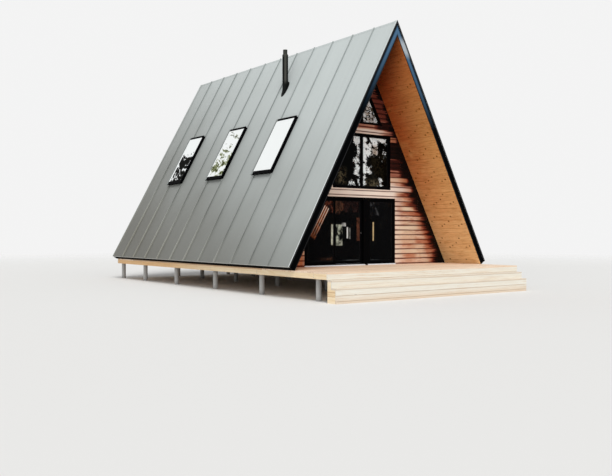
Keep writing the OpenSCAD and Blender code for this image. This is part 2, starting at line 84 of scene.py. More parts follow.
# An output of a node that can stand in a calculation
class Wire:
    def __init__(self, bench, socket):
        self.bench = bench
        self.socket = socket

    def other(self, name):
        return Wire(self.bench, self.socket.node.outputs[name])

    def maths(self, operation, *values):
        return self.bench.add("ShaderNodeMath", {"operation": operation}, dict(enumerate(values)))

    def __add__(self, value):
        return self.maths("ADD", self, value)

    def __sub__(self, value):
        return self.maths("SUBTRACT", self, value)

    def __rsub__(self, value):
        return self.maths("SUBTRACT", value, self)

    def __mul__(self, value):
        return self.maths("MULTIPLY", self, value)

    def __truediv__(self, value):
        return self.maths("DIVIDE", self, value)

    def __pow__(self, value):
        return self.maths("POWER", self, value)

    __radd__ = __add__
    __rmul__ = __mul__

    def absolute(self):
        return self.maths("ABSOLUTE", self)

    def floor(self):
        return self.maths("FLOOR", self)

    def fraction(self):
        return self.maths("FRACT", self)

    # The distance to the nearest whole number, from -0.5 to 0.5
    def fromWhole(self):
        return (self + 0.5).fraction() - 0.5

    def sine(self):
        return self.maths("SINE", self)

    def most(self, value):
        return self.maths("MAXIMUM", self, value)

    def above(self, value):
        return self.maths("GREATER_THAN", self, value)

    # 0 below low, 1 above high, with soft ends
    def rise(self, low, high):
        return self.bench.add("ShaderNodeMapRange", {"interpolation_type": "SMOOTHSTEP"},
                              {"Value": self, "From Min": low, "From Max": high})


def strongest(wires):
    whole = wires[0]
    for wire in wires[1:]:
        whole = whole.most(wire)
    return whole


# Adds nodes to one tree
class Bench:
    def __init__(self, tree):
        self.tree = tree

    def add(self, kind, settings, sockets, output=0):
        made = self.tree.nodes.new(kind)
        for name, value in settings.items():
            if name == "stops":
                self.setStops(made.color_ramp, value)
            else:
                setattr(made, name, value)
        for name, value in sockets.items():
            for part in value if isinstance(value, list) else [value]:
                if isinstance(part, Wire):
                    self.tree.links.new(part.socket, made.inputs[name])
                else:
                    made.inputs[name].default_value = part
        return Wire(self, made.outputs[output]) if made.outputs else None

    def setStops(self, ramp, stops):
        while len(ramp.elements) < len(stops):
            ramp.elements.new(0.5)
        for element, (position, colour) in zip(ramp.elements, stops):
            element.position = position
            element.color = (*colour, 1.0)

    def ramp(self, value, stops):
        return self.add("ShaderNodeValToRGB", {"stops": stops}, {"Fac": value})

    def vector(self, x, y, z):
        return self.add("ShaderNodeCombineXYZ", {}, {"X": x, "Y": y, "Z": z})

    def noise(self, vector, scale, detail=3.0, roughness=0.5, distortion=0.0):
        return self.add("ShaderNodeTexNoise", {}, {
            "Vector": vector, "Scale": scale, "Detail": detail,
            "Roughness": roughness, "Distortion": distortion})

    def chance(self, value):
        return self.add("ShaderNodeTexWhiteNoise", {"noise_dimensions": "1D"}, {"W": value})

    def mix(self, factor, first, second, blend="MIX"):
        colours = [c if isinstance(c, Wire) else (*c, 1.0) for c in (first, second)]
        return self.add("ShaderNodeMix", {"data_type": "RGBA", "blend_type": blend},
                        {0: factor, 6: colours[0], 7: colours[1]}, 2)

    def multiply(self, first, second):
        return self.mix(1.0, first, second, "MULTIPLY")

    # A colour made lighter or darker by a number
    def shade(self, colour, amount):
        return self.multiply(colour, self.vector(amount, amount, amount))

    def bump(self, height, distance, strength=1.0):
        return self.add("ShaderNodeBump", {}, {"Height": height, "Distance": distance, "Strength": strength})


# A material with its place on the object ready as x, y and z
class Finish(Bench):
    def __init__(self, name):
        self.material = bpy.data.materials.new(name)
        self.material.use_nodes = True
        super().__init__(self.material.node_tree)
        self.tree.nodes.clear()
        self.place = self.add("ShaderNodeTexCoord", {}, {}, "Object")
        self.x = self.add("ShaderNodeSeparateXYZ", {}, {"Vector": self.place})
        self.y = self.x.other("Y")
        self.z = self.x.other("Z")

    # How far up the roof's slope a point lies, the same on both sides
    def upSlope(self):
        return (roof["halfWidth"] - self.x.absolute()) * slopeCos + (self.z - roof["eaveHeight"]) * slopeSin

    # How deep below the roof's metal a point lies
    def intoSlope(self):
        return (roof["halfWidth"] - self.x.absolute()) * slopeSin - (self.z - roof["eaveHeight"]) * slopeCos

    # 1 on the gables' two end faces of the roof
    def roofEnds(self):
        return (self.y - (roofFront + roofBack) / 2).absolute().above((roofBack - roofFront) / 2 - 0.005)

    # 1 where a wire lies between two values, with soft ends
    def within(self, wire, low, high, soft=0.01):
        return wire.rise(low - soft, low + soft) * (1.0 - wire.rise(high - soft, high + soft))

    # 1 where a wire lies close to a value
    def near(self, wire, value, half):
        return 1.0 - (wire - value).absolute().rise(half * 0.5, half * 1.2)

    # The strongest of some soft-edged patches, each with its left and right, foot and top, and strength
    def patches(self, across, rows, soft, softUp):
        return strongest([
            self.within(across, left, right, soft) * self.within(self.z, foot, top, softUp) * strength
            for left, right, foot, top, strength in rows])

    def close(self, sockets):
        self.end(self.add("ShaderNodeBsdfPrincipled", {}, sockets))
        return self.material

    def end(self, shader):
        self.add("ShaderNodeOutputMaterial", {}, {"Surface": shader})


# Roof sheets: painted light, pale bluish grey near the ridge and the front, darker and warmer towards the low
# back end
sheetMetal = {
    "pale": (0.50, 0.54, 0.53),
    "deep": (0.112, 0.110, 0.094),
    "edge": (0.80, 0.84, 0.83),
    # painted shade of the seams, and their painted highlight where the sheets are deep
    "seamShade": 0.62,       # how dark seams are, and how light where the sheets are deep
    "seamLight": 2.8,
    "roughness": 0.36,
}


def makeSheetMetal():
    f = Finish("roof_sheet_metal")
    up = f.upSlope()
    ahead = (roofBack - f.y) / (roofBack - roofFront)
    high = (f.z - roof["eaveHeight"]) / (roof["ridgeHeight"] - roof["eaveHeight"])
    cloud = f.noise(f.place, 0.35, 2.0)
    # Painted light: the sheets grow paler towards the front and the ridge and darker towards the low back end
    light = (ahead * 0.5 + high * 0.8 + cloud * 0.25 - 0.3).rise(-0.1, 1.0)
    tone = f.mix(light, sheetMetal["deep"], sheetMetal["pale"])
    alongRoof = (f.y - roofFront) / roof["sheetWidth"]
    perSheet = f.chance(alongRoof.floor() + f.x.above(0.0) * 31.0)
    streak = f.noise(f.vector(f.y * 7.0, up * 0.35, f.x.above(0.0) * 5.0), 1.0, 4.0, 0.6)
    colour = f.shade(tone, perSheet * 0.06 + streak * 0.12 + 0.91)
    # Painted shade darkens the seams and the flashing's step where the sheets are pale, and a painted highlight
    # lightens them where the sheets are deep
    fromSeam = alongRoof.fromWhole().absolute() * roof["sheetWidth"]
    inside = ((f.y - (roofFront + roofBack) / 2).absolute() - (roofBack - roofFront) / 2) * -1.0
    fromStep = (inside - roof["flashingWidth"] - 0.006).absolute()
    seam = (1.0 - fromSeam.rise(0.005, 0.014)) * inside.above(0.2)
    step = 1.0 - fromStep.rise(0.005, 0.013)
    # Where the painted light is dimmest the seams get a painted highlight instead of painted shade
    dimSheets = 1.0 - light.rise(0.02, 0.25)
    faint = (1.0 - light.rise(0.30, 0.80)) * 0.35
    seamShade = dimSheets * sheetMetal["seamLight"] + (1.0 - dimSheets) * (faint + sheetMetal["seamShade"])
    colour = f.shade(colour, 1.0 - seam.most(step * 0.9) * (1.0 - seamShade))
    # Painted highlight along the folded edges at the rakes and the eave, fainter up the slope
    edgeHighlight = (1.0 - inside.rise(0.020, 0.042)).most(1.0 - up.rise(-0.008, 0.004))
    colour = f.mix(edgeHighlight * (0.85 - f.z.rise(2.6, 5.0) * 0.5), colour, sheetMetal["edge"])
    # The folded edge's face over the rakes is black, like the boards behind it
    colour = f.mix(1.0 - inside.above(0.0012), colour, edgeBlack)
    grain = f.noise(f.place, 260.0, 2.0)
    buckle = f.noise(f.vector(f.y * 2.2, up * 0.9, 0.0), 1.0, 1.0)
    return f.close({
        "Base Color": colour,
        "Roughness": streak * 0.16 + sheetMetal["roughness"],
        "Specular IOR Level": 0.35,
        "Normal": f.bump(buckle + grain * 0.004, 0.012, 0.6),
    })


# Boards of any timber: along, across and depth are wires, pitch is the width of a board. A look has the
# tones from dark to light, how far boards differ, and how dark knots are where there are any
def timber(f, along, across, depth, pitch, start, look):
    board = ((across - start) / pitch).floor()
    luck = f.chance(board + 7.0)
    shift = luck * 23.0
    rings = f.noise(f.vector(along * 0.55 + shift, across * 9.0, depth * 9.0 + shift), 2.2, 5.0, 0.62, 0.9)
    fibre = f.noise(f.vector(along * 5.0 + shift, across * 150.0, depth * 150.0), 1.0, 3.0, 0.7)
    lines = ((rings * 70.0).sine() * 0.5 + 0.5) ** 3.0
    tone = rings * 0.66 + fibre * 0.2 + (luck - 0.5) * look["spread"] - lines * 0.07 + 0.06
    colour = f.ramp(tone, look["tones"])
    if "knots" in look:
        cells = f.add("ShaderNodeTexVoronoi", {}, {
            "Vector": f.vector(along * 0.9 + shift, across * 3.4, depth * 0.2 + shift),
            "Scale": 1.0, "Randomness": 1.0})
        knot = 1.0 - cells.rise(0.02, 0.06)
        colour = f.mix(knot * look["knots"], colour, (0.16, 0.07, 0.03))
    return {"colour": colour, "board": board, "luck": luck, "rings": rings, "fibre": fibre, "lines": lines}


def woodBump(f, wood, distance=0.0012):
    return f.bump(wood["fibre"] * 0.5 + wood["rings"] * 0.4 - wood["lines"] * 0.25, distance, 0.7)


def closeTimber(f, wood, colour):
    return f.close({
        "Base Color": colour,
        "Roughness": wood["fibre"] * 0.2 + 0.5,
        "Normal": woodBump(f, wood),
    })


# Decking: pink-tan new boards across the platform
decking = {
    "width": 7.45, "frontRows": 21, "rearRows": 10, "gap": 0.005, "thickness": 0.038, "uneven": 0.0009,
    "look": {"spread": 0.26, "knots": 0.5, "tones": [
        (0.22, (0.54, 0.35, 0.22)), (0.42, (0.81, 0.61, 0.44)), (0.60, (0.87, 0.70, 0.53)),
        (0.85, (0.90, 0.78, 0.64))]},
}
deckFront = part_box("front_deck")[0].y
deckPitch = (wallFront - deckFront) / decking["frontRows"]


def makeDeckTimber():
    f = Finish("deck_timber")
    wood = timber(f, f.x, f.y, f.z, deckPitch, deckFront, decking["look"])
    return closeTimber(f, wood, wood["colour"])


# Steps: paler boards, warmer near the ground. Each joint has its height and how far it has darkened
stepWood = {
    "board": 0.14, "foot": 0.06,
    "joints": [(0.06, 0.010), (0.20, 0.010), (0.3594, 0.022), (0.5494, 0.022), (0.5804, 0.010)],
    "look": {"spread": 0.16, "knots": 0.35, "tones": [
        (0.2, (0.60, 0.47, 0.33)), (0.40, (0.80, 0.74, 0.63)), (0.58, (0.84, 0.81, 0.72)),
        (0.85, (0.86, 0.84, 0.77))]},
}


def makeStepTimber():
    f = Finish("step_timber")
    wood = timber(f, f.x, f.z, f.y, stepWood["board"], stepWood["foot"], stepWood["look"])
    low = 1.0 - f.z.rise(0.02, 0.24)
    colour = f.mix(low * 0.5, wood["colour"], (0.66, 0.44, 0.26))
    lines = f.noise(f.vector(f.x * 0.7, f.z * 34.0, f.y * 34.0), 1.0, 3.0, 0.6)
    colour = f.mix(lines.rise(0.56, 0.70) * 0.5, colour, (0.62, 0.38, 0.20))
    joints = strongest([f.near(f.z, level, half) for level, half in stepWood["joints"]])
    return closeTimber(f, wood, f.mix(joints * 0.35, colour, (0.50, 0.29, 0.14)))


# Rims and framing below the deck, redder towards the back of the long sides
rimWood = {
    "board": 0.14, "foot": 0.58, "behind": (0.90, 0.70, 0.50),
    "look": {"spread": 0.3, "knots": 0.4, "tones": [
        (0.2, (0.54, 0.32, 0.15)), (0.42, (0.84, 0.64, 0.39)), (0.62, (0.92, 0.76, 0.53)),
        (0.9, (0.95, 0.85, 0.66))]},
}


def makeRimTimber():
    f = Finish("rim_timber")
    wood = timber(f, f.y + f.x, f.z, 0.0, rimWood["board"], rimWood["foot"], rimWood["look"])
    behind = f.y.rise(-1.5, 3.0) * f.x.absolute().above(3.5)
    return closeTimber(f, wood, f.mix(behind, wood["colour"], f.multiply(wood["colour"], rimWood["behind"])))


floorWood = {
    "board": 0.12, "joint": (0.12, 0.07, 0.03),
    "look": {"spread": 0.3, "tones": [
        (0.2, (0.30, 0.17, 0.08)), (0.45, (0.50, 0.31, 0.16)), (0.7, (0.60, 0.40, 0.22))]},
}


def makeFloorTimber():
    f = Finish("floor_timber")
    wood = timber(f, f.y, f.x, f.z, floorWood["board"], 0.0, floorWood["look"])
    joint = ((f.x / floorWood["board"]).fraction() - 0.5).absolute().above(0.486)
    return f.close({
        "Base Color": f.mix(joint * 0.7, wood["colour"], floorWood["joint"]),
        "Roughness": wood["fibre"] * 0.15 + 0.32,
        "Normal": f.bump(wood["fibre"] * 0.3 - joint, 0.0012, 0.7),
    })


# Pine lining: boards along the roof. Its dark knots sit in slanting pairs that come back at even steps, each
# given by its way along the roof and up the slope
liningBoards = {
    "rows": 53, "gap": 0.004, "thickness": 0.007, "uneven": 0.0006,
    "knotStep": 0.722, "knotRise": 0.7975, "knotStart": (-4.85, 0.6455), "knotColour": (0.25, 0.075, 0.004),
    "knots": [(-0.07, 0.029), (0.07, -0.029), (0.27, 0.313), (0.44, 0.142)],
    "look": {"spread": 0.16, "tones": [
        (0.2, (0.64, 0.38, 0.17)), (0.42, (0.81, 0.53, 0.26)), (0.60, (0.87, 0.61, 0.32)),
        (0.9, (0.90, 0.68, 0.40))]},
    # How the light grows redder and dimmer from the deck to the ridge
    "climb": [(0.0, (1.0, 1.0, 1.0)), (0.28, (1.0, 0.82, 0.66)), (0.50, (0.93, 0.69, 0.47)),
              (0.66, (0.78, 0.52, 0.32)), (0.95, (0.63, 0.29, 0.16))],
}
liningFoot = (deckTop - roof["eaveHeight"] + roof["thickness"] * slopeCos) / slopeSin
liningTop = (roof["halfWidth"] - roof["thickness"] * slopeSin) / slopeCos
liningPitch = (liningTop - liningFoot) / liningBoards["rows"]


def makePine():
    f = Finish("pine_lining")
    up = f.upSlope()
    wood = timber(f, f.y, up, f.x, liningPitch, liningFoot, liningBoards["look"])
    stepY, stepUp = liningBoards["knotStep"], liningBoards["knotRise"]
    startY, startUp = liningBoards["knotStart"]
    spots = []
    for dy, du in liningBoards["knots"]:
        tileY = (f.y - startY - dy) / stepY + 0.5
        tileUp = (up - startUp - du) / stepUp + 0.5
        luck = f.chance(tileY.floor() * 7.3 + tileUp.floor() * 3.1 + dy * 40.0)
        sideways = (tileY.fraction() - 0.5) * stepY + (luck - 0.5) * 0.02
        level = (tileUp.fraction() - 0.5) * (stepUp * 1.2) + (luck - 0.5) * 0.01
        apart = (sideways ** 2.0 + level ** 2.0) ** 0.5
        spots.append((1.0 - apart.rise(0.018, 0.044)) * (luck * 0.3 + 0.7))
    knots = strongest(spots)
    # Painted light: the climb ramp makes the boards redder and dimmer towards the ridge
    warm = f.multiply(wood["colour"], f.ramp((f.z - 1.0) / 6.5, liningBoards["climb"]))
    dashes = f.noise(f.vector(f.y * 2.6, up * 26.0, 0.0), 1.0, 3.0, 0.7)
    warm = f.shade(warm, 1.06)
    warm = f.mix(dashes.rise(0.48, 0.66) * 0.8, warm, f.multiply(warm, (0.72, 0.60, 0.46)))
    # Redder beside the gable wall, and painted shade that dims the boards below the ridge
    blush = f.y.rise(-5.0, -3.7) * f.z.rise(1.5, 5.0) * f.noise(f.place, 2.2, 3.0).rise(0.15, 0.48)
    warm = f.mix(blush, warm, f.multiply(warm, (0.76, 0.43, 0.34)))
    warm = f.shade(warm, 1.0 - (f.z - 6.5 + (f.y + 4.4) * 0.7).rise(-0.3, 0.9) * 0.65)
    colour = f.mix(knots, warm, liningBoards["knotColour"])
    colour = f.mix(f.roofEnds(), colour, edgeBlack)
    return f.close({
        "Base Color": colour,
        "Specular IOR Level": 0.2,
        "Roughness": wood["fibre"] * 0.15 + 0.42,
        "Normal": f.bump(wood["fibre"] * 0.4 + wood["rings"] * 0.6 - knots * 0.5, 0.001, 0.7),
    })


# Cedar siding: cream to red-brown boards with deep joints, and painted shade that makes them nearly black along
# the lining. Patches are given by their two sides, measured from the middle of the wall, their foot and top, and
# their strength; the dark ones are painted shade
siding = {
    "foot": 0.6338, "pitch": 0.1532, "rows": 45, "gap": 0.014, "thickness": 0.0095, "chamfer": 0.003,
    "uneven": 0.0012,
    "clear": 0.003,          # of the openings and the lining
    "offDeck": 0.002,
    "look": {"spread": 0.34, "tones": [
        (0.18, (0.34, 0.095, 0.05)), (0.32, (0.56, 0.27, 0.17)), (0.44, (0.69, 0.44, 0.31)),
        (0.58, (0.78, 0.57, 0.43)), (0.85, (0.82, 0.67, 0.54))]},
    "shadeTones": [(0.0, (1.0, 1.0, 1.0)), (0.25, (0.80, 0.55, 0.45)), (0.50, (0.34, 0.115, 0.09)),
                   (0.74, (0.055, 0.015, 0.014)), (0.95, (0.004, 0.002, 0.003))],
    "roomBoard": 0.12,
    "roomLook": {"spread": 0.2, "knots": 0.4, "tones": [
        (0.2, (0.50, 0.32, 0.17)), (0.5, (0.72, 0.52, 0.31)), (0.85, (0.82, 0.66, 0.44))]},
    "dark": [(1.00, 2.60, 3.76, 4.12, 0.80), (0.90, 2.60, 4.12, 4.64, 0.95), (1.00, 2.60, 3.56, 3.76, 0.42),
             (1.95, 2.70, 2.92, 3.05, 0.95), (1.50, 2.00, 2.93, 3.05, 0.45), (0.50, 1.80, 5.02, 5.28, 0.85),
             (-1.0, 1.80, 5.02, 5.28, 0.34), (0.20, 1.40, 5.28, 7.20, 0.60), (1.90, 2.60, 2.62, 2.76, 0.62)],
    "pale": [(-0.1, 1.40, 2.87, 3.14, 0.90), (1.05, 2.15, 3.08, 3.28, 0.85), (-0.1, 1.30, 4.87, 5.00, 0.70)],
    "tan": [(1.10, 1.95, 3.37, 3.54, 0.80), (1.10, 1.46, 4.66, 4.82, 0.90)],
    "straw": [(2.10, 2.70, 0.95, 1.42, 0.38), (1.50, 2.30, 1.42, 2.00, 0.40), (1.70, 2.45, 2.48, 2.62, 0.70)],
    "rust": [(1.80, 2.34, 0.95, 1.10, 0.75), (1.88, 2.30, 1.25, 1.40, 0.45), (1.84, 2.20, 0.80, 0.93, 0.5),
             (1.46, 1.70, 2.48, 2.62, 0.5), (2.22, 2.70, 2.33, 2.48, 0.55), (2.60, 3.10, 1.70, 1.86, 0.4),
             (2.75, 3.20, 1.10, 1.40, 0.4)],
}


def makeCedar():
    f = Finish("cedar_siding")
    aside = f.x.absolute()
    wood = timber(f, f.x, f.z, f.y, siding["pitch"], siding["foot"], siding["look"])
    gust = f.noise(f.vector(f.x * 1.5 + wood["luck"] * 6.0, f.z * 13.0, f.y), 1.0, 4.0, 0.65)
    patch = f.noise(f.vector(f.x * 1.5 + 4.0, f.z * 2.7, f.y), 1.0, 3.0, 0.6)
    stained = f.mix((1.0 - patch.rise(0.36, 0.48)) * 0.45, wood["colour"], (0.66, 0.55, 0.39))
    stained = f.mix(patch.rise(0.50, 0.62) * 0.60, stained, (0.52, 0.18, 0.085))
    stained = f.mix(gust.rise(0.53, 0.70) * 0.65, stained, (0.34, 0.085, 0.05))
    stained = f.mix((1.0 - aside.rise(1.45, 1.80)) * 0.45, stained, (0.84, 0.75, 0.66))
    # Painted shadow along each joint, with weathering at each board's edges, stronger in some places
    fromJoint = ((f.z - siding["foot"]) / siding["pitch"]).fromWhole().absolute() * siding["pitch"]
    uneven = f.noise(f.vector(f.x * 0.9, wood["board"] * 3.7, f.y), 1.0, 2.0).rise(0.36, 0.60)
    edge = (1.0 - fromJoint.rise(0.008, 0.038)) * (uneven * 0.45 + 0.55)
    stained = f.mix(edge, stained, (0.13, 0.022, 0.014))
    pale = f.patches(aside, siding["pale"], 0.12, 0.02)
    tan = f.patches(aside, siding["tan"], 0.08, 0.015)
    stained = f.mix(pale * (1.0 - edge * 0.6) * 0.8, stained, (0.92, 0.83, 0.74))
    stained = f.mix(tan * 0.6, stained, (0.62, 0.34, 0.17))
    straw = f.patches(aside, siding["straw"], 0.12, 0.05)
    stained = f.mix(straw * (1.0 - edge * 0.7), stained, (0.78, 0.66, 0.48))
    rust = f.patches(aside, siding["rust"], 0.14, 0.02) * (gust.rise(0.30, 0.5) * 0.3 + 0.7)
    stained = f.mix(rust, stained, (0.45, 0.15, 0.07))
    # Painted shade: nearly black beside the lining, with streaks that reach out of it, and the dark patches
    inset = ((innerApex - f.z) * (slopeCos / slopeSin) - aside) * slopeSin
    core = 0.05 + (1.0 - f.z.rise(0.85, 1.15)) * 0.07 + f.z.rise(2.3, 2.9) * 0.12 - f.z.rise(5.0, 5.3) * 0.14
    ragged = (gust - 0.5) * 0.75 + (f.chance(wood["board"] + 3.0) - 0.5) * 0.16
    shade = 1.0 - (inset + ragged - core).rise(0.0, 0.60 - f.z.rise(4.9, 5.2) * 0.35)
    shade = shade.most(f.patches(aside, siding["dark"], 0.30, 0.03) * (1.25 - gust * 0.5))
    shade = shade * (1.0 - pale.most(tan) * 0.75)
    tint = f.ramp(shade, siding["shadeTones"])
    corner = (1.0 - f.x.rise(-2.35, -2.25)) * (1.0 - f.y.above(0.0)) * (1.0 - f.z.rise(1.4, 1.8))
    tint = f.mix(corner * 0.9, tint, (1.0, 0.50, 0.27))
    dark = f.multiply(stained, tint)
    # The recess behind the boards is painted dark as shade, near black where the painted shade is, and pale
    # boards on the room's side
    depth = (wallBack - wallFront) / 2 - (f.y - (wallFront + wallBack) / 2).absolute()
    recess = f.mix(shade, (0.065, 0.016, 0.010), (0.002, 0.001, 0.001))
    colour = f.mix(depth.above(-0.002), dark, recess)
    lined = timber(f, f.x, f.z, f.y, siding["roomBoard"], 0.0, siding["roomLook"])
    joint = ((f.z / siding["roomBoard"]).fraction() - 0.5).absolute().above(0.475)
    colour = f.mix(depth.above(0.1), colour, f.shade(lined["colour"], 1.0 - joint * 0.7))
    return f.close({
        "Base Color": colour,
        "Roughness": wood["fibre"] * 0.2 + 0.5,
        "Specular IOR Level": 0.12,
        "Normal": woodBump(f, wood, 0.0015),
    })


def makeBlackTrim():
    f = Finish("black_trim")
    fibre = f.noise(f.vector(f.x * 20.0, f.y * 20.0, f.z * 20.0), 2.0, 4.0)
    # Painted reflection of the sky: bluish towards the top, apart from a strip under the metal's edge and less
    # at the inner edge
    inward = f.intoSlope()
    high = f.z.rise(4.9, 7.6) ** (1.5 - f.x.above(0.0) * 0.9)
    high = high * inward.rise(0.045, 0.120) * (1.0 - inward.rise(0.130, 0.215) * 0.45)
    colour = f.mix(high, (0.0010, 0.0012, 0.0015), (0.078, 0.160, 0.265))
    # Painted highlight: a pale glint on the right rake below the apex
    apexGlint = f.within(f.z, 7.02, 7.46, 0.14) * f.x.above(0.0) * inward.rise(0.02, 0.07)
    colour = f.mix(apexGlint * 0.85, colour, (0.46, 0.50, 0.53))
    return f.close({
        "Base Color": f.shade(colour, fibre * 0.5 + 0.75),
        "Roughness": fibre * 0.25 + 0.45,
        "Specular IOR Level": 0.008,
        "Normal": f.bump(fibre, 0.0008, 0.5),
    })


# The far sides of the skylights' frames are grey on top: the first one's place along the
# roof, the step to the next, and the grey's reach to both sides and least height off the metal
farFrameGrey = {
    "first": -1.03, "step": 3.0, "reach": (-0.085, 0.03), "height": 0.087, "grey": (0.26, 0.28, 0.27),
}


def makeBlackFrame():
    f = Finish("black_frame")
    speck = f.noise(f.place, 140.0, 2.0)
    black = f.mix(speck, (0.0006, 0.0006, 0.0008), (0.0032, 0.0032, 0.0038))
    fromFarSide = ((f.y - farFrameGrey["first"]) / farFrameGrey["step"]).fromWhole() * farFrameGrey["step"]
    onTop = (f.intoSlope() * -1.0).above(farFrameGrey["height"])
    grey = f.within(fromFarSide, *farFrameGrey["reach"], 0.004) * onTop
    return f.close({
        "Base Color": f.mix(grey, black, farFrameGrey["grey"]),
        "Roughness": speck * 0.15 + 0.42,
        "Specular IOR Level": 0.008,
        "Normal": f.bump(speck, 0.0003, 0.4),
    })


# Plain finishes: a noise by its stretch along the three axes, scale and detail, the two colours that it
# mixes, and its share in the roughness with the least of that
plainFinishes = {
    "window_gasket": {
        "stretch": (1.0, 1.0, 1.0), "noise": (90.0, 3.0), "roughness": (0.2, 0.65),
        "colours": [(0.005, 0.005, 0.006), (0.012, 0.012, 0.013)], "sockets": {"Specular IOR Level": 0.08}},
    "bare_aluminium": {
        "stretch": (2.0, 300.0, 300.0), "noise": (1.0, 2.0), "roughness": (0.15, 0.32),
        "colours": [(0.74, 0.79, 0.86), (0.90, 0.94, 0.98)], "sockets": {"Metallic": 0.25}},
    "zinc_steel": {
        "stretch": (1.0, 1.0, 1.0), "noise": (45.0, 3.0), "roughness": (0.2, 0.32),
        "colours": [(0.34, 0.35, 0.36), (0.60, 0.61, 0.62)], "sockets": {"Metallic": 0.8}},
    "roof_core": {
        "stretch": (30.0, 3.0, 30.0), "noise": (1.0, 4.0), "roughness": (0.2, 0.6),
        "colours": [(0.40, 0.26, 0.14), (0.62, 0.45, 0.27)], "sockets": {}},
}


def makePlain(name):
    f = Finish(name)
    look = plainFinishes[name]
    stretched = [way * much for way, much in zip((f.x, f.y, f.z), look["stretch"])]
    grain = f.noise(f.vector(*stretched), *look["noise"])
    share, least = look["roughness"]
    return f.close({
        "Base Color": f.mix(grain, *look["colours"]),
        "Roughness": grain * share + least,
    } | look["sockets"])


def makePipeMetal():
    f = Finish("pipe_metal")
    soot = f.noise(f.vector(f.x * 6.0, f.y * 6.0, f.z * 1.2), 2.0, 4.0)
    # Painted highlight: a lighter band down the front, and over more of the cap
    ahead = ((f.x - pipe["x"]) * -0.50 + (f.y - pipe["y"]) * -0.866) / pipe["radius"]
    onCap = ahead.rise(0.2, 0.6) * f.z.above(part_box("pipe_cap")[0].z) * 0.7
    paintedHighlight = (ahead.rise(0.86, 0.99) * f.z.rise(6.75, 6.95)).most(onCap)
    black = f.mix(soot, (0.003, 0.004, 0.004), (0.012, 0.013, 0.012))
    return f.close({
        "Base Color": f.mix(paintedHighlight * 0.8, black, (0.075, 0.075, 0.065)),
        "Metallic": 0.3,
        "Specular IOR Level": 0.03,
        "Roughness": soot * 0.2 + 0.32,
    })


def makeConcrete():
    f = Finish("pier_concrete")
    pores = f.noise(f.place, 60.0, 4.0, 0.7)
    rings = f.noise(f.vector(0.0, 0.0, f.z * 14.0), 1.0, 2.0)
    tone = pores * 0.5 + rings * 0.5
    # Darker towards the ground
    nearGround = 1.0 - f.z.rise(0.0, 0.16)
    colour = f.mix(nearGround * 0.4, f.mix(tone, (0.27, 0.27, 0.265), (0.50, 0.49, 0.47)), (0.12, 0.11, 0.10))
    return f.close({
        "Base Color": colour,
        "Roughness": pores * 0.2 + 0.68,
        "Normal": f.bump(pores + rings, 0.002, 0.6),
    })


# Skylight panes: a painted reflection, clear white at the front of the roof, blotched and then mostly dark
# farther back
def makeSkyGlass():
    f = Finish("skylight_glass_finish")
    up = f.upSlope()
    right = f.x.above(0.0)
    farPane = f.y.rise(2.5, 3.4)
    reflectedLeaves = f.noise(f.vector(f.y * 0.9 + 1.7, up * 2.1 - f.y * 0.7, right * 7.0), 2.0, 6.0, 0.62, 0.5)
    reflectedTwigs = f.noise(f.vector(f.y, up, right * 3.0), 8.0, 4.0, 0.7, 0.4)
    level = (reflectedLeaves - 0.5) * 1.5 + (reflectedTwigs - 0.5) * (farPane * 0.4 + 0.6)
    # Painted reflection of leaves in green rows at the middle pane, near black over the lower half at the far
    # one
    low = 1.0 - up.rise(4.15, 4.75)
    middle = f.within(f.y, 0.6, 2.0, 0.2) * (0.34 + low * 0.12)
    far = farPane * (low * 0.50 + 0.12) - f.y.rise(4.80, 4.88) * 0.60
    mask = (level + middle.most(far)).rise(0.42, 0.56)
    green = f.mix((reflectedLeaves + reflectedTwigs - 1.0).rise(-0.05, 0.22), (0.31, 0.34, 0.18), (0.030, 0.036, 0.008))
    tint = f.mix(farPane, green, (0.004, 0.004, 0.003))
    return f.close({
        "Base Color": f.mix(mask, (0.81, 0.83, 0.82), tint),
        "Roughness": 0.08,
        "Specular IOR Level": 0.003,
    })


# Upper panes: a painted reflection, pale where they reflect the sky, near black elsewhere, as one still picture
# in the glass
upperPanes = {
    "pale": (0.90, 0.98, 1.0), "grey": (0.34, 0.42, 0.47), "deep": (0.0010, 0.0011, 0.0009),
    "olive": (0.10, 0.085, 0.050), "tan": (0.36, 0.24, 0.14),
    # Where the painted reflection shows sky through leaves, beside the mullion and along the top, and how
    # unbroken each patch is
    "sky": [
        (0.04, 0.22, 4.00, 4.82, 0.92), (0.15, 0.44, 4.15, 4.56, 0.66), (0.34, 0.68, 4.46, 4.82, 0.86),
        (0.60, 1.02, 4.63, 4.82, 0.84), (0.42, 0.70, 4.20, 4.50, 0.60), (0.95, 1.08, 4.52, 4.66, 0.60),
        (0.04, 0.22, 3.60, 3.95, 0.80), (0.20, 0.42, 3.60, 3.86, 0.58), (0.04, 0.20, 3.20, 3.60, 0.58),
        (0.70, 0.92, 3.20, 3.52, 0.46), (0.66, 1.06, 4.00, 4.42, 0.20),
        (-0.30, -0.04, 4.50, 4.82, 0.88), (-0.22, -0.04, 4.14, 4.50, 0.58), (-0.33, -0.04, 3.90, 4.12, 0.70),
        (-0.28, -0.04, 3.52, 3.92, 0.66), (-0.20, -0.04, 3.20, 3.52, 0.52), (-0.52, -0.24, 3.24, 3.38, 0.82),
        (-0.80, 0.80, 5.10, 6.60, 0.47), (-0.62, 0.62, 5.22, 5.33, 0.80), (-0.17, 0.17, 5.24, 5.60, 0.70),
    ],
    "reflectedTrees": [(0.20, 0.72, 3.20, 3.42, 1.0), (-0.95, -0.66, 3.28, 3.75, 1.0), (0.40, 1.06, 3.45, 4.30, 0.12)],
}


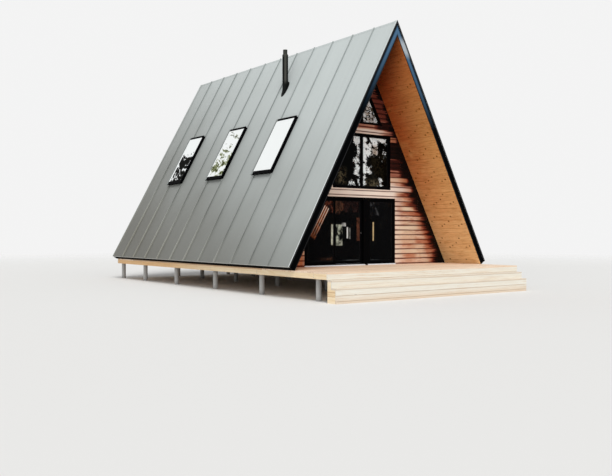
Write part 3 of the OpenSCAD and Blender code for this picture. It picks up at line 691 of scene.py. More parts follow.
def makeUpperGlass():
    f = Finish("upper_glass_finish")
    reflectedLeaves = f.noise(f.vector(f.x, f.y * 0.2, f.z * 1.15), 9.0, 7.0, 0.74, 0.6)
    gap = f.near(f.x - 0.28 + (f.z - 4.77) * 0.69, 0.0, 0.045) * f.within(f.z, 4.42, 4.82, 0.03)
    reflectedTwigs = f.noise(f.vector(f.x, f.y * 0.2, f.z), 26.0, 3.0, 0.7)
    sky = f.patches(f.x, upperPanes["sky"], 0.09, 0.09)
    level = sky + (reflectedLeaves - 0.5) * 2.7 + (reflectedTwigs - 0.5) * 1.1 - gap * 0.45
    mask = level.rise(0.43, 0.57) * sky.rise(0.02, 0.16)
    attic = f.z.rise(5.0, 5.1)
    warm = f.within(f.x.absolute(), 0.16, 0.48, 0.10) * attic
    soft = f.noise(f.place, 13.0, 4.0, 0.7)
    shaded = f.mix(soft.rise(0.52, 0.68) * (0.6 - attic * 0.3), upperPanes["pale"], upperPanes["grey"])
    dull = f.within(f.x, 0.44, 0.70, 0.09) * f.within(f.z, 4.18, 4.52, 0.09)
    shaded = f.mix(dull.most(warm * soft.rise(0.46, 0.58)) * 0.7, shaded, upperPanes["tan"])
    reflectedTrees = f.patches(f.x, upperPanes["reflectedTrees"], 0.16, 0.10).most(attic) * soft.rise(0.44, 0.60)
    room = (1.0 - f.z.rise(2.9, 3.0)) * reflectedLeaves.rise(0.40, 0.66) * 0.10
    tint = f.mix(reflectedTrees.most(room), upperPanes["deep"], upperPanes["olive"])
    return f.close({
        "Base Color": f.mix(mask, tint, shaded),
        "Roughness": 0.07,
        "Specular IOR Level": 0.02,
    })


# Door panes: dark glass with a few painted reflections, each with its left and right, foot and top,
# its colour, and how broken up it is
doorPanes = {
    "deep": (0.0012, 0.0012, 0.0016),
    "reflections": [
        (-1.22, -1.14, 1.40, 2.02, (0.92, 0.98, 0.82), 0.55),
        (-0.99, -0.74, 1.38, 2.02, (0.58, 0.64, 0.53), 1.0),
        (-0.78, -0.60, 1.97, 2.07, (0.74, 0.78, 0.78), 0.9),
        (-0.570, -0.515, 1.60, 1.94, (0.90, 0.94, 0.94), 0.3),
        (-0.455, -0.430, 1.58, 1.92, (0.44, 0.47, 0.46), 0.6),
        (-0.17, -0.05, 1.52, 2.24, (0.11, 0.040, 0.022), 0.6),
        (0.446, 0.498, 1.52, 2.10, (0.72, 0.56, 0.30), 0.4),
        (-1.02, -0.70, 2.34, 2.74, (0.090, 0.040, 0.024), 1.0),
        (-0.70, -0.10, 2.40, 2.74, (0.026, 0.011, 0.009), 1.0),
        (-1.52, -1.14, 2.38, 2.74, (0.22, 0.062, 0.034), 1.0),
        (0.33, 0.72, 2.32, 2.74, (0.050, 0.052, 0.056), 1.0),
        (-1.62, -1.15, 0.93, 1.02, (0.070, 0.030, 0.017), 0.8),
        (-0.76, -0.08, 0.912, 0.930, (0.12, 0.14, 0.15), 0.9),
        (0.335, 0.72, 0.912, 0.930, (0.10, 0.12, 0.13), 0.9),
    ],
    # A slanting warm band of painted reflection, with pale lines along it by their place across it and their
    # strength
    "slant": {"foot": (-1.93, 1.62), "top": (-1.38, 2.54), "half": 0.10, "warm": (0.30, 0.085, 0.026),
              "line": (1.0, 0.90, 0.80), "lines": [(-0.085, 1.0), (-0.005, 0.8), (0.075, 0.9)]},
}


def makeDoorGlass():
    f = Finish("door_glass")
    broken = f.noise(f.vector(f.x * 1.2, f.y, f.z * 0.8), 4.6, 6.0, 0.7, 0.6)
    patch = f.noise(f.vector(f.x, f.y, f.z), 1.8, 6.0, 0.7)
    colour = f.mix(patch.rise(0.5, 0.75), doorPanes["deep"], (0.004, 0.004, 0.004))
    front = 1.0 - f.y.above(0.0)
    reflectedAmount = f.y * 0.0
    for left, right, foot, top, tone, mottle in doorPanes["reflections"]:
        amount = f.within(f.x, left, right, 0.012) * f.within(f.z, foot, top, 0.02) * front
        amount = amount * (1.0 - (1.0 - broken.rise(0.40, 0.66)) * mottle)
        colour = f.mix(amount, colour, tone)
        reflectedAmount = reflectedAmount.most(amount)
    slant = doorPanes["slant"]
    run = Vector(slant["top"]) - Vector(slant["foot"])
    length = run.length
    run = run / length
    dx = f.x - slant["foot"][0]
    dz = f.z - slant["foot"][1]
    along = dx * run.x + dz * run.y
    across = dx * run.y - dz * run.x
    body = f.within(along, 0.0, length, 0.03) * f.within(across, -slant["half"], slant["half"], 0.012) * front
    colour = f.mix(body * (broken.rise(0.38, 0.60) * 0.85 + 0.1), colour, slant["warm"])
    for place, strength in slant["lines"]:
        line = f.near(across, place, 0.015) * body * (along / length) ** 1.2 * strength
        colour = f.mix(line, colour, slant["line"])
    return f.close({
        "Base Color": colour,
        "Alpha": reflectedAmount.most(body) * 0.12 + 0.88,
        "Roughness": 0.03,
        "Specular IOR Level": 0.025,
    })


finishes = {
    "roof_metal": makeSheetMetal(),
    "roof_core": makePlain("roof_core"),
    "pine_lining": makePine(),
    "black_trim": makeBlackTrim(),
    "black_frame": makeBlackFrame(),
    "bare_aluminium": makePlain("bare_aluminium"),
    "pipe_metal": makePipeMetal(),
    "cedar_siding": makeCedar(),
    "deck_timber": makeDeckTimber(),
    "step_timber": makeStepTimber(),
    "rim_timber": makeRimTimber(),
    "floor_timber": makeFloorTimber(),
    "concrete": makeConcrete(),
    "window_glass": makeDoorGlass(),
    "sky_glass": makeSkyGlass(),
    "upper_glass": makeUpperGlass(),
    "window_gasket": makePlain("window_gasket"),
    "zinc_steel": makePlain("zinc_steel"),
}
ownGlass = {"skylight_glass": "sky_glass", "loft_window_glass": "upper_glass",
            "attic_window_glass": "upper_glass", "rear_window_glass": "upper_glass"}
slots = {row["node"]: row["material_slot"] for row in frame["record"]["subparts"]}
for name, node in cadNodes.items():
    if not node.material_slots:
        node.data.materials.append(None)
    for place in node.material_slots:
        place.material = finishes[ownGlass.get(name, slots[name])]
print("finishes made:", len(finishes))


def objectOf(name, data):
    made = bpy.data.objects.new(name, data)
    scene.collection.objects.link(made)
    return made


# A geometry tree with named inputs, used through a modifier that is gone again afterwards
class Pattern(Bench):
    def __init__(self, name, inputs):
        super().__init__(bpy.data.node_groups.new(name, "GeometryNodeTree"))
        self.keys = {}
        kinds = {int: "NodeSocketInt", float: "NodeSocketFloat"}
        self.declare("Geometry", "INPUT", "NodeSocketGeometry")
        for label, value in inputs.items():
            self.declare(label, "INPUT", kinds[type(value)]).default_value = value
        self.declare("Cutter", "INPUT", "NodeSocketObject")
        self.declare("Finish", "INPUT", "NodeSocketMaterial")
        self.declare("Geometry", "OUTPUT", "NodeSocketGeometry")
        self.start = self.add("NodeGroupInput", {}, {})

    def declare(self, label, way, kind):
        made = self.tree.interface.new_socket(label, in_out=way, socket_type=kind)
        if way == "INPUT":
            self.keys[label] = made.identifier
        return made

    def given(self, label):
        return self.start.other(label)

    def finishWith(self, geometry):
        whole = self.add("GeometryNodeRealizeInstances", {}, {"Geometry": geometry})
        painted = self.add("GeometryNodeSetMaterial", {}, {
            "Geometry": whole, "Material": self.given("Finish")})
        self.add("NodeGroupOutput", {}, {"Geometry": painted})

    # Runs the tree on a mesh and gives the result as a plain object
    def lay(self, name, mesh, finish, values, cutter=None):
        made = objectOf(name, mesh)
        modifier = made.modifiers.new("pattern", "NODES")
        modifier.node_group = self.tree
        for label, value in (values | {"Finish": finish, "Cutter": cutter}).items():
            modifier[self.keys[label]] = value
        evaluated = made.evaluated_get(bpy.context.evaluated_depsgraph_get())
        result = bpy.data.meshes.new_from_object(evaluated)
        made.modifiers.remove(modifier)
        made.data = result
        if cutter:
            bpy.data.objects.remove(cutter)
        return made


# Repeats a bar in a row; each bar's ends can lean inwards, and a cutter can take openings out
def makeRowPattern(name, cuts):
    p = Pattern(name, {"Count": 10, "Pitch": 0.15, "Length": 1.0, "Lean": 0.0, "Uneven": 0.0, "Seed": 1})
    step = p.vector(0.0, p.given("Pitch"), 0.0)
    line = p.add("GeometryNodeMeshLine", {"mode": "OFFSET"}, {"Count": p.given("Count"), "Offset": step})
    height = p.add("FunctionNodeRandomValue", {"data_type": "FLOAT"},
                   {2: 0.0, 3: p.given("Uneven"), "Seed": p.given("Seed")}, 1)
    lifted = p.add("GeometryNodeSetPosition", {}, {"Geometry": line, "Offset": p.vector(0.0, 0.0, height)})
    bars = p.add("GeometryNodeInstanceOnPoints", {}, {"Points": lifted, "Instance": p.given("Geometry")})
    whole = p.add("GeometryNodeRealizeInstances", {}, {"Geometry": bars})
    x = p.add("ShaderNodeSeparateXYZ", {}, {"Vector": p.add("GeometryNodeInputPosition", {}, {})})
    y = x.other("Y")
    leaning = y * p.given("Lean")
    newX = leaning + x * (p.given("Length") - leaning * 2.0) / p.given("Length")
    shaped = p.add("GeometryNodeSetPosition", {}, {
        "Geometry": whole, "Position": p.vector(newX, y, x.other("Z"))})
    if cuts:
        tool = p.add("GeometryNodeObjectInfo", {}, {"Object": p.given("Cutter")}, "Geometry")
        shaped = p.add("GeometryNodeMeshBoolean", {"operation": "DIFFERENCE"}, {0: shaped, 1: tool})
    p.finishWith(shaped)
    return p


# Sets a domed head with a washer on every vertex, turned to the attribute facing
def makeFastenerPattern():
    p = Pattern("fasteners", {"Head Radius": 0.005, "Head Height": 0.003, "Washer Radius": 0.007, "Sides": 6})
    facing = p.add("GeometryNodeInputNamedAttribute", {"data_type": "FLOAT_VECTOR"}, {"Name": "facing"})
    turned = p.add("FunctionNodeAlignRotationToVector", {"axis": "Z"}, {"Vector": facing})
    tall, radius = p.given("Head Height"), p.given("Head Radius")
    head = p.add("GeometryNodeMeshCone", {}, {
        "Vertices": p.given("Sides"), "Radius Top": radius * 0.72, "Radius Bottom": radius, "Depth": tall})
    head = p.add("GeometryNodeTransform", {}, {
        "Geometry": head, "Translation": p.vector(0.0, 0.0, tall * 0.25)})
    washer = p.add("GeometryNodeMeshCylinder", {}, {
        "Vertices": 12, "Radius": p.given("Washer Radius"), "Depth": tall * 0.35})
    both = p.add("GeometryNodeJoinGeometry", {}, {"Geometry": [head, washer]})
    points = p.add("GeometryNodeMeshToPoints", {}, {"Mesh": p.given("Geometry")})
    p.finishWith(p.add("GeometryNodeInstanceOnPoints", {}, {
        "Points": points, "Instance": both, "Rotation": turned}))
    return p


rowPattern = makeRowPattern("row_of_bars", False)
cutRowPattern = makeRowPattern("row_of_bars_with_openings", True)
fastenerPattern = makeFastenerPattern()


def meshFrom(name, corners, faces):
    mesh = bpy.data.meshes.new(name)
    mesh.from_pydata(corners, [], faces)
    mesh.update()
    return mesh


# Faces between rings of points. The last ring meets the first one, or else both ends are closed
def joinRings(work, rings, endless=False):
    made = [[work.verts.new(point) for point in ring] for ring in rings]
    for first, second in zip(made, made[1:] + (made[:1] if endless else [])):
        for i in range(len(first)):
            j = (i + 1) % len(first)
            work.faces.new((first[i], first[j], second[j], second[i]))
    if not endless:
        work.faces.new(made[0])
        work.faces.new(made[-1])


# A mesh of what has been built, with its faces turned outwards
def meshOf(name, work):
    bmesh.ops.recalc_face_normals(work, faces=work.faces)
    mesh = bpy.data.meshes.new(name)
    work.to_mesh(mesh)
    work.free()
    return mesh


# A bar along X with the outline given in Y and Z
def barMesh(length, outline):
    work = bmesh.new()
    joinRings(work, [[(x, y, z) for y, z in outline] for x in (0.0, length)])
    return meshOf("bar", work)


# The outline of a board lying flat, with its upper edges chamfered
def boardOutline(width, thickness, chamfer, foot=0.0):
    return [(foot, 0.0), (foot + width, 0.0), (foot + width, thickness - chamfer),
            (foot + width - chamfer, thickness), (foot + chamfer, thickness), (foot, thickness - chamfer)]


# What the openings take out of a row of boards, from outlines in the row's own X and Y
def cutterObject(outlines):
    work = bmesh.new()
    for outline in outlines:
        joinRings(work, [[(x, y, z) for x, y in outline] for z in (-0.05, 0.1)])
    return objectOf("cutter", meshOf("cutter", work))


def rectangle(x0, x1, y0, y1):
    return [(x0, y0), (x1, y0), (x1, y1), (x0, y1)]


# Moves a mesh's own axes to the ones given, from an origin
def settle(made, origin, xAxis, yAxis, zAxis):
    turn = Matrix((xAxis, yAxis, zAxis)).transposed().to_4x4()
    made.data.transform(Matrix.Translation(origin) @ turn)
    made.data.update()


def keep(made, body="cabin", replaced=()):
    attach(made, body)
    if replaced:
        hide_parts(*replaced)


def finishPiece(name, work, finish, body="cabin", replaced=()):
    mesh = meshOf(name, work)
    mesh.materials.append(finish)
    keep(objectOf(name, mesh), body, replaced)


# A place on the roof: side -1 is the left slope and 1 the right one, depth counts inwards from the metal
def onSlope(side, up, y, depth=0.0):
    return Vector((side * (roof["halfWidth"] - up * slopeCos - depth * slopeSin), y,
                   roof["eaveHeight"] + up * slopeSin - depth * slopeCos))


def slopeUp(side):
    return Vector((-side * slopeCos, 0.0, slopeSin))


def slopeOut(side):
    return Vector((side * slopeSin, 0.0, slopeCos))


# The wall's openings, each with its form
openings = {
    "loft_window_frame": "rectangle", "attic_window_frame": "triangle", "door_frame": "open to the deck",
}


def openingOutlines(foot, left):
    clear = siding["clear"]
    deck = deckTop + siding["offDeck"] - foot
    outlines = []
    for name, form in openings.items():
        low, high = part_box(name)
        x0, x1 = low.x - clear - left, high.x + clear - left
        z0, z1 = low.z - clear - foot, high.z + clear - foot
        if form == "triangle":
            outlines.append([(x0, z0), (x1, z0), ((x0 + x1) / 2, z0 + (x1 - x0) / 2 * slopeSin / slopeCos)])
        elif form == "rectangle":
            outlines.append(rectangle(x0, x1, z0, z1))
        else:
            # In one outline with all that lies below the deck
            outlines.append([(-1.0, -1.0), (9.0, -1.0), (9.0, deck), (x1, deck), (x1, z1), (x0, z1),
                             (x0, deck), (-1.0, deck)])
    return outlines


# Siding on both gables: the back one is the front one turned round
def laySiding(name, facing, level):
    foot = siding["foot"]
    reach = (innerApex - foot) * slopeCos / slopeSin - liningBoards["thickness"] / slopeSin - siding["clear"]
    board = barMesh(2 * reach, boardOutline(siding["pitch"] - siding["gap"], siding["thickness"],
                                            siding["chamfer"], siding["gap"] / 2))
    cutter = cutterObject(openingOutlines(foot, -reach))
    made = cutRowPattern.lay(name, board, finishes["cedar_siding"], {
        "Count": siding["rows"], "Pitch": siding["pitch"], "Length": 2 * reach,
        "Lean": slopeCos / slopeSin, "Uneven": siding["uneven"], "Seed": 4}, cutter)
    settle(made, Vector((facing * reach, level, foot)), (-facing, 0, 0), (0, 0, 1), (0, facing, 0))
    keep(made)


laySiding("front_siding", -1, wallFront)
laySiding("rear_siding", 1, wallBack)
print("siding laid")


# Lining boards inside both slopes, cut for the skylight shafts
def layLining(name, side):
    inset = 0.001
    length = roofBack - roofFront - 2 * inset
    board = barMesh(length, boardOutline(liningPitch - liningBoards["gap"], liningBoards["thickness"], 0.002))
    curb = roof["curb"]
    low = roof["skylightFoot"] + curb - liningFoot
    shafts = []
    for sheet in roof["skylightSheets"]:
        y0 = sheet * roof["sheetWidth"] + curb - inset
        y1 = y0 + roof["skylightWidth"] - 2 * curb
        y0, y1 = (y0, y1) if side < 0 else (length - y1, length - y0)
        shafts.append(rectangle(y0, y1, low, low + roof["skylightLength"] - 2 * curb))
    made = cutRowPattern.lay(name, board, finishes["pine_lining"], {
        "Count": liningBoards["rows"], "Pitch": liningPitch, "Length": length,
        "Uneven": liningBoards["uneven"], "Seed": 9}, cutterObject(shafts))
    start = roofFront + inset if side < 0 else roofBack - inset
    settle(made, onSlope(side, liningFoot, start, roof["thickness"]),
           (0, -side, 0), slopeUp(side), -slopeOut(side))
    keep(made)


layLining("left_lining_boards", -1)
layLining("right_lining_boards", 1)
print("lining laid")


# Deck boards across the platform in front of and behind the walls
deckRows = [("front", deckFront, wallFront, decking["frontRows"]),
            ("rear", wallBack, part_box("rear_deck")[1].y, decking["rearRows"])]
for end, y0, y1, rows in deckRows:
    pitch = (y1 - y0) / rows
    gap, thickness, width = decking["gap"], decking["thickness"], decking["width"]
    board = barMesh(width, boardOutline(pitch - gap, thickness - 0.001, 0.003, gap / 2))
    boards = rowPattern.lay(end + "_decking", board, finishes["deck_timber"], {
        "Count": rows, "Pitch": pitch, "Length": width, "Uneven": decking["uneven"], "Seed": 5})
    settle(boards, Vector((-width / 2, y0, deckTop - thickness)), (1, 0, 0), (0, 1, 0), (0, 0, 1))
    keep(boards, replaced=(end + "_deck",))


# Step boards: treads of two boards, risers of boards above each other, given by their joints' heights
steps = {"gap": 0.004, "thickness": 0.038, "chamfer": 0.003,
         "risers": {"lower_step": [0.0, 0.06, 0.2, 0.3404], "upper_step": [0.3784, 0.5304]}}


def stepBoard(work, y0, y1, z0, z1, c):
    outline = [(y0 + c, z0), (y1 - c, z0), (y1, z0 + c), (y1, z1 - c),
               (y1 - c, z1), (y0 + c, z1), (y0, z1 - c), (y0, z0 + c)]
    joinRings(work, [[(x, y, z) for y, z in outline] for x in (-decking["width"] / 2, decking["width"] / 2)])


def laySteps(node):
    low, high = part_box(node)
    work = bmesh.new()
    half, thickness, chamfer = steps["gap"] / 2, steps["thickness"], steps["chamfer"]
    joints = steps["risers"][node]
    for z0, z1 in zip(joints, joints[1:]):
        stepBoard(work, low.y, low.y + thickness, z0 + half if z0 > low.z else z0, z1 - half, chamfer)
    middle = (low.y + high.y) / 2
    for y0, y1 in ((low.y, middle - half), (middle + half, high.y)):
        stepBoard(work, y0, y1, high.z - thickness, high.z, chamfer)
    finishPiece(node + "_boards", work, finishes["step_timber"], replaced=(node,))


# A batten below the deck's front rim, which closes the slit above the upper step
def layBatten():
    work = bmesh.new()
    batten = {"set": 0.001, "thickness": 0.035, "room": 0.0006, "chamfer": 0.002}
    front = deckFront + batten["set"]
    stepBoard(work, front, front + batten["thickness"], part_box("upper_step")[1].z + batten["room"],
              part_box("end_rims")[0].z - batten["room"], batten["chamfer"])
    finishPiece("step_batten", work, finishes["step_timber"])


layBatten()
laySteps("lower_step")
laySteps("upper_step")
print("deck and steps laid")


# Folded lips along the tops of the standing seams, left out at the skylights
seamLip = {"width": 0.022, "height": 0.009, "above": 0.0015, "short": 0.03, "start": 0.004, "clear": 0.02}


def laySeamLips(name, side):
    half, clear = seamLip["width"] / 2, seamLip["clear"]
    top = roof["seamHeight"] + seamLip["above"]
    foot = top - seamLip["height"]
    length = slopeLength - seamLip["short"]
    bar = barMesh(length, [
        (-0.007, foot), (half - 0.002, foot), (half, foot + 0.002), (half, top - 0.002),
        (half - 0.002, top), (-0.0055, top), (-0.0085, top - 0.003), (-0.0085, foot + 0.002)])
    low = roof["skylightFoot"] - clear - seamLip["start"]
    last = (roof["sheets"] - 2) * roof["sheetWidth"]
    holes = []
    for sheet in roof["skylightSheets"]:
        y0 = (sheet - 1) * roof["sheetWidth"] - clear
        y1 = y0 + roof["skylightWidth"] + 2 * clear
        y0, y1 = (y0, y1) if side < 0 else (last - y1, last - y0)
        holes.append(rectangle(low, low + roof["skylightLength"] + 2 * clear, y0, y1))
    made = cutRowPattern.lay(name, bar, finishes["roof_metal"], {
        "Count": roof["sheets"] - 1, "Pitch": roof["sheetWidth"], "Length": length}, cutterObject(holes))
    start = roofFront + roof["sheetWidth"] if side < 0 else roofBack - roof["sheetWidth"]
    settle(made, onSlope(side, seamLip["start"], start), slopeUp(side), (0, -side, 0), slopeOut(side))
    keep(made)


laySeamLips("left_seam_lips", -1)
laySeamLips("right_seam_lips", 1)
print("seam lips laid")


# Screws and nails from lists of places, each with the way it faces
def fasten(name, places, sizes):
    mesh = meshFrom(name, [tuple(place) for place, facing in places], [])
    store = mesh.attributes.new("facing", "FLOAT_VECTOR", "POINT")
    for i, (place, facing) in enumerate(places):
        store.data[i].vector = facing
    keep(fastenerPattern.lay(name, mesh, finishes["zinc_steel"], sizes))


def headSize(radius, height, washer, sides=6):
    return {"Head Radius": radius, "Head Height": height, "Washer Radius": washer, "Sides": sides}


upward = Vector((0, 0, 1))
joistRows = [0.6 * i for i in range(-5, 6)]

flashingScrews = {"spacing": 0.45, "fromEnds": 0.2, "size": headSize(0.006, 0.006, 0.010)}


def flashingPlaces():
    places = []
    count = int(slopeLength / flashingScrews["spacing"])
    ends = flashingScrews["fromEnds"]
    for side in (-1, 1):
        for y in (roofFront + roof["flashingWidth"] / 2, roofBack - roof["flashingWidth"] / 2):
            for i in range(count):
                up = ends + (slopeLength - 2 * ends) * i / (count - 1)
                places.append((onSlope(side, up, y, -roof["flashingHeight"]), slopeOut(side)))
    return places


ridgeScrews = {
    "spacing": 0.5, "fromEnds": 0.1, "below": 0.045, "out": 0.0042, "size": headSize(0.005, 0.005, 0.008),
}


def ridgePlaces():
    low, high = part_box("ridge_cap")
    count = int((high.y - low.y) / ridgeScrews["spacing"])
    first, run = low.y + ridgeScrews["fromEnds"], high.y - low.y - 2 * ridgeScrews["fromEnds"]
    up = slopeLength - ridgeScrews["below"]
    return [(onSlope(side, up, first + run * i / count, -ridgeScrews["out"]), slopeOut(side))
            for side in (-1, 1) for i in range(count + 1)]


# The outer row of deck screws stops where the roof covers it
deckScrews = {
    "rows": joistRows + [-3.706, 3.706], "covered": 3.68, "size": headSize(0.0045, 0.0012, 0.005, 8),
}


def deckPlaces():
    places = []
    for end, y0, y1, rows in deckRows:
        for row in range(rows):
            for x in deckScrews["rows"]:
                for across in (0.25, 0.75):
                    y = y0 + (row + across) * (y1 - y0) / rows
                    if abs(x) < deckScrews["covered"] or not roofFront - 0.05 < y < roofBack + 0.05:
                        places.append((Vector((x, y, deckTop)), upward))
    return places


sidingNails = {"studs": 0.4, "clear": 0.03, "fromLining": 0.06, "size": headSize(0.003, 0.0014, 0.0032)}


# Places on the front gable's boards that are clear of the openings and of the lining
def sidingPlaces():
    places = []
    clear = sidingNails["clear"]
    for row in range(siding["rows"]):
        for part in (0.28, 0.72):
            z = siding["foot"] + (row + part) * siding["pitch"]
            for stud in range(-9, 10):
                x = stud * sidingNails["studs"]
                edge = (innerApex - z) * slopeCos / slopeSin - sidingNails["fromLining"]
                free = z > deckTop + clear and abs(x) < edge
                for name, form in openings.items():
                    low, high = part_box(name)
                    narrow = (z - low.z) * slopeCos / slopeSin if form == "triangle" else 0.0
                    inside = abs(x - (low.x + high.x) / 2) < (high.x - low.x) / 2 - narrow + clear
                    free = free and not (inside and low.z - clear < z < high.z + clear)
                if free:
                    places.append((x, z))
    return places


def nailSiding(name, facing, level):
    out = level + facing * siding["thickness"]
    places = [(Vector((-facing * x, out, z)), Vector((0, facing, 0))) for x, z in sidingPlaces()]
    fasten(name, places, sidingNails["size"])


frameScrews = {
    "beams": [-5.95, -3.28, -0.61, 2.06, 4.59, 6.60], "stringers": [-3.706, -1.853, 0.0, 1.853, 3.706],
    "treads": [0.18, 0.42, 0.62, 0.86], "fromEdge": 0.04, "size": headSize(0.007, 0.005, 0.012),
}


def framePlaces():
    low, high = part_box("side_rims")
    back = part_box("end_rims")[1].y
    places = []
    for z in (low.z + frameScrews["fromEdge"], high.z - frameScrews["fromEdge"]):
        for side in (-1, 1):
            places += [(Vector((side * high.x, y, z)), Vector((side, 0, 0))) for y in frameScrews["beams"]]
        places += [(Vector((x, back, z)), Vector((0, 1, 0))) for x in joistRows]
    return places


def stepPlaces():
    places = []
    for node, back in (("lower_step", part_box("upper_step")[0].y), ("upper_step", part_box("upper_step")[1].y)):
        low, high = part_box(node)
        places += [(Vector((x, low.y + (back - low.y) * part, high.z)), upward)
                   for x in frameScrews["stringers"] for part in frameScrews["treads"]]
    return places


fasten("flashing_screws", flashingPlaces(), flashingScrews["size"])
fasten("deck_screws", deckPlaces(), deckScrews["size"])
nailSiding("front_siding_nails", -1, wallFront)
nailSiding("rear_siding_nails", 1, wallBack)
fasten("ridge_screws", ridgePlaces(), ridgeScrews["size"])
fasten("frame_screws", framePlaces(), frameScrews["size"])
fasten("step_screws", stepPlaces(), deckScrews["size"])
print("fasteners set")


# Moves the sides of an outline inwards, for corners given counterclockwise
def drawnIn(outline, distance):
    moved = []
    for i, corner in enumerate(outline):
        here = Vector(corner)
        come = (here - Vector(outline[i - 1])).normalized()
        leave = (Vector(outline[(i + 1) % len(outline)]) - here).normalized()
        both = Vector((-come.y - leave.y, come.x + leave.x))
        moved.append(here + both * (2.0 * distance / both.length_squared))
    return moved


# Rings that follow an outline, from steps of how far each is drawn in and how far out it stands
def ringsAlong(outline, section, place):
    return [[place(u, v, out) for u, v in drawnIn(outline, inwards)] for inwards, out in section]


# Rubber gaskets round the panes, on both of their faces. Each pane has the node that gives its height,
# and the left and right of its lights
gasket = {"width": 0.011, "height": 0.004, "room": 0.0006}
panes = {
    "fixed": ("fixed_door_glass", [(-2.117, -1.1395), (0.328, 1.256)]),
    "sliding": ("sliding_glass", [(-1.0645, -0.035)]),
    "middle": ("fixed_door_glass", [(-1.0645, -0.028)]),
    "loft": ("loft_window_glass", [(-1.096, -0.046), (0.046, 1.096)]),
    "attic": ("attic_window_glass", [(-0.7195, -0.03), (0.03, 0.7195)]),
}


def gasketSection(height):
    width, room = gasket["width"], gasket["room"]
    return [(room, room), (room, height), (width * 0.55, height), (width, height * 0.45), (width, room)]


# The back gable's panes are the front's turned round, in one node of their own
def sealPanes(name, kinds, rearNode=None, body="cabin"):
    work = bmesh.new()
    for kind in kinds:
        glass, lights = panes[kind]
        z0, z1 = (corner.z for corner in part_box(glass))
        front, back = (corner.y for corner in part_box(rearNode or glass))
        for x0, x1 in lights:
            x0, x1 = (-x1, -x0) if rearNode else (x0, x1)
            outline = rectangle(x0, x1, z0, z1)
            if kind == "attic":
                outline = [(x0, z0), (x1, z0), (x1 if x0 < 0 else x0, z1)]
            for level, facing in ((front, -1), (back, 1)):
                joinRings(work, ringsAlong(outline, gasketSection(gasket["height"]),
                                           lambda u, v, out: (u, level + facing * out, v)), endless=True)
    finishPiece(name, work, finishes["window_gasket"], body)


sealPanes("front_gaskets", ["fixed", "loft", "attic"])
sealPanes("sliding_gasket", ["sliding"], body="sliding_door")
sealPanes("rear_gaskets", ["fixed", "middle", "loft", "attic"], "rear_window_glass")


# How far a node's highest point stands off the roof's metal
def heightOffRoof(node):
    corners = [v.co for v in cadNodes[node].data.vertices]
    return max((abs(c.x) - roof["halfWidth"]) * slopeSin + (c.z - roof["eaveHeight"]) * slopeCos
               for c in corners)


# Black metal covers round the skylights' sashes, broader at the foot and the top, and a gasket inside each
skylightCover = {
    "side": 0.042, "top": 0.062, "foot": 0.090, "thickness": 0.010, "proud": 0.004, "drip": 0.026,
    "skirt": 0.046, "edge": 0.003, "room": 0.0004, "lap": 0.012, "gasket": 0.0028,
}


def coverSkylights():
    covers, gaskets = bmesh.new(), bmesh.new()
    c = skylightCover
    room, edge = c["room"], c["edge"]
    glassTop = heightOffRoof("skylight_glass")
    sashTop = heightOffRoof("skylight_frames") + room
    tall = sashTop + c["thickness"]
    foot = roof["skylightFoot"]
    top = foot + roof["skylightLength"]
    for side in (-1, 1):
        for sheet in roof["skylightSheets"]:
            y0 = roofFront + sheet * roof["sheetWidth"]
            y1 = y0 + roof["skylightWidth"]
            inner = rectangle(y0 + c["side"], y1 - c["side"], foot + c["foot"], top - c["top"])
            sash = rectangle(y0 - room, y1 + room, foot - room, top + room)
            outer = rectangle(y0 - c["proud"], y1 + c["proud"], foot - c["drip"], top + c["proud"])
            lap = drawnIn(inner, -c["lap"])
            loops = [(sash, tall - c["skirt"]), (outer, tall - c["skirt"]), (outer, tall - edge),
                     (drawnIn(outer, edge), tall), (drawnIn(inner, -edge), tall), (inner, tall - edge),
                     (inner, glassTop + room), (lap, glassTop + room), (lap, sashTop), (sash, sashTop)]
            rings = [[onSlope(side, v, u, -out) for u, v in outline] for outline, out in loops]
            joinRings(covers, rings, endless=True)
            rings = ringsAlong(inner, gasketSection(c["gasket"]),
                               lambda u, v, out: onSlope(side, v, u, -glassTop - out))
            joinRings(gaskets, rings, endless=True)
    finishPiece("skylight_covers", covers, finishes["black_frame"])
    finishPiece("skylight_gaskets", gaskets, finishes["window_gasket"])


coverSkylights()
print("gaskets set")


# The flush pulls in both faces of the sliding panel: a rounded rim, a cup with a floor and a thumb lever,
# each in steps of how far they are drawn in and how far out they stand
doorPull = {
    "x": 0.0025, "z": 1.7584, "width": 0.030, "height": 0.190, "round": 0.006,
    "grip": (0.009, 0.046, 0.004, 3),    # the lever's width, height, rounding and steps of a corner
    "rim": [(-0.005, 0.0002), (-0.005, 0.0010), (-0.0035, 0.0018), (0.0012, 0.0018), (0.0020, 0.0010),
            (0.0020, -0.0092), (0.0006, -0.0092), (0.0006, 0.0002)],
    "floor": [(0.0018, -0.0092), (0.0018, -0.0084)],
    "lever": [(0.0, -0.0083), (0.0, -0.0035), (0.0012, -0.0022)],
}


def roundedOutline(width, height, radius, parts=4):
    outline = []
    for cx, cz, start in ((1, -1, -90), (1, 1, 0), (-1, 1, 90), (-1, -1, 180)):
        for k in range(parts + 1):
            angle = math.radians(start + 90 * k / parts)
            outline.append((cx * (width / 2 - radius) + radius * math.cos(angle),
                            cz * (height / 2 - radius) + radius * math.sin(angle)))
    return outline


def makeDoorPulls():
    low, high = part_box("sliding_panel")
    cups, levers = bmesh.new(), bmesh.new()
    outline = roundedOutline(doorPull["width"], doorPull["height"], doorPull["round"])
    grip = roundedOutline(*doorPull["grip"])
    for level, facing in ((low.y, -1), (high.y, 1)):
        def place(u, v, out):
            return (doorPull["x"] + u, level + facing * out, doorPull["z"] + v)
        joinRings(cups, ringsAlong(outline, doorPull["rim"], place), endless=True)
        joinRings(cups, ringsAlong(outline, doorPull["floor"], place))
        joinRings(levers, ringsAlong(grip, doorPull["lever"], place))
    finishPiece("door_pull_cups", cups, finishes["black_frame"], "sliding_door")
    finishPiece("door_pull_levers", levers, finishes["zinc_steel"], "sliding_door")


makeDoorPulls()

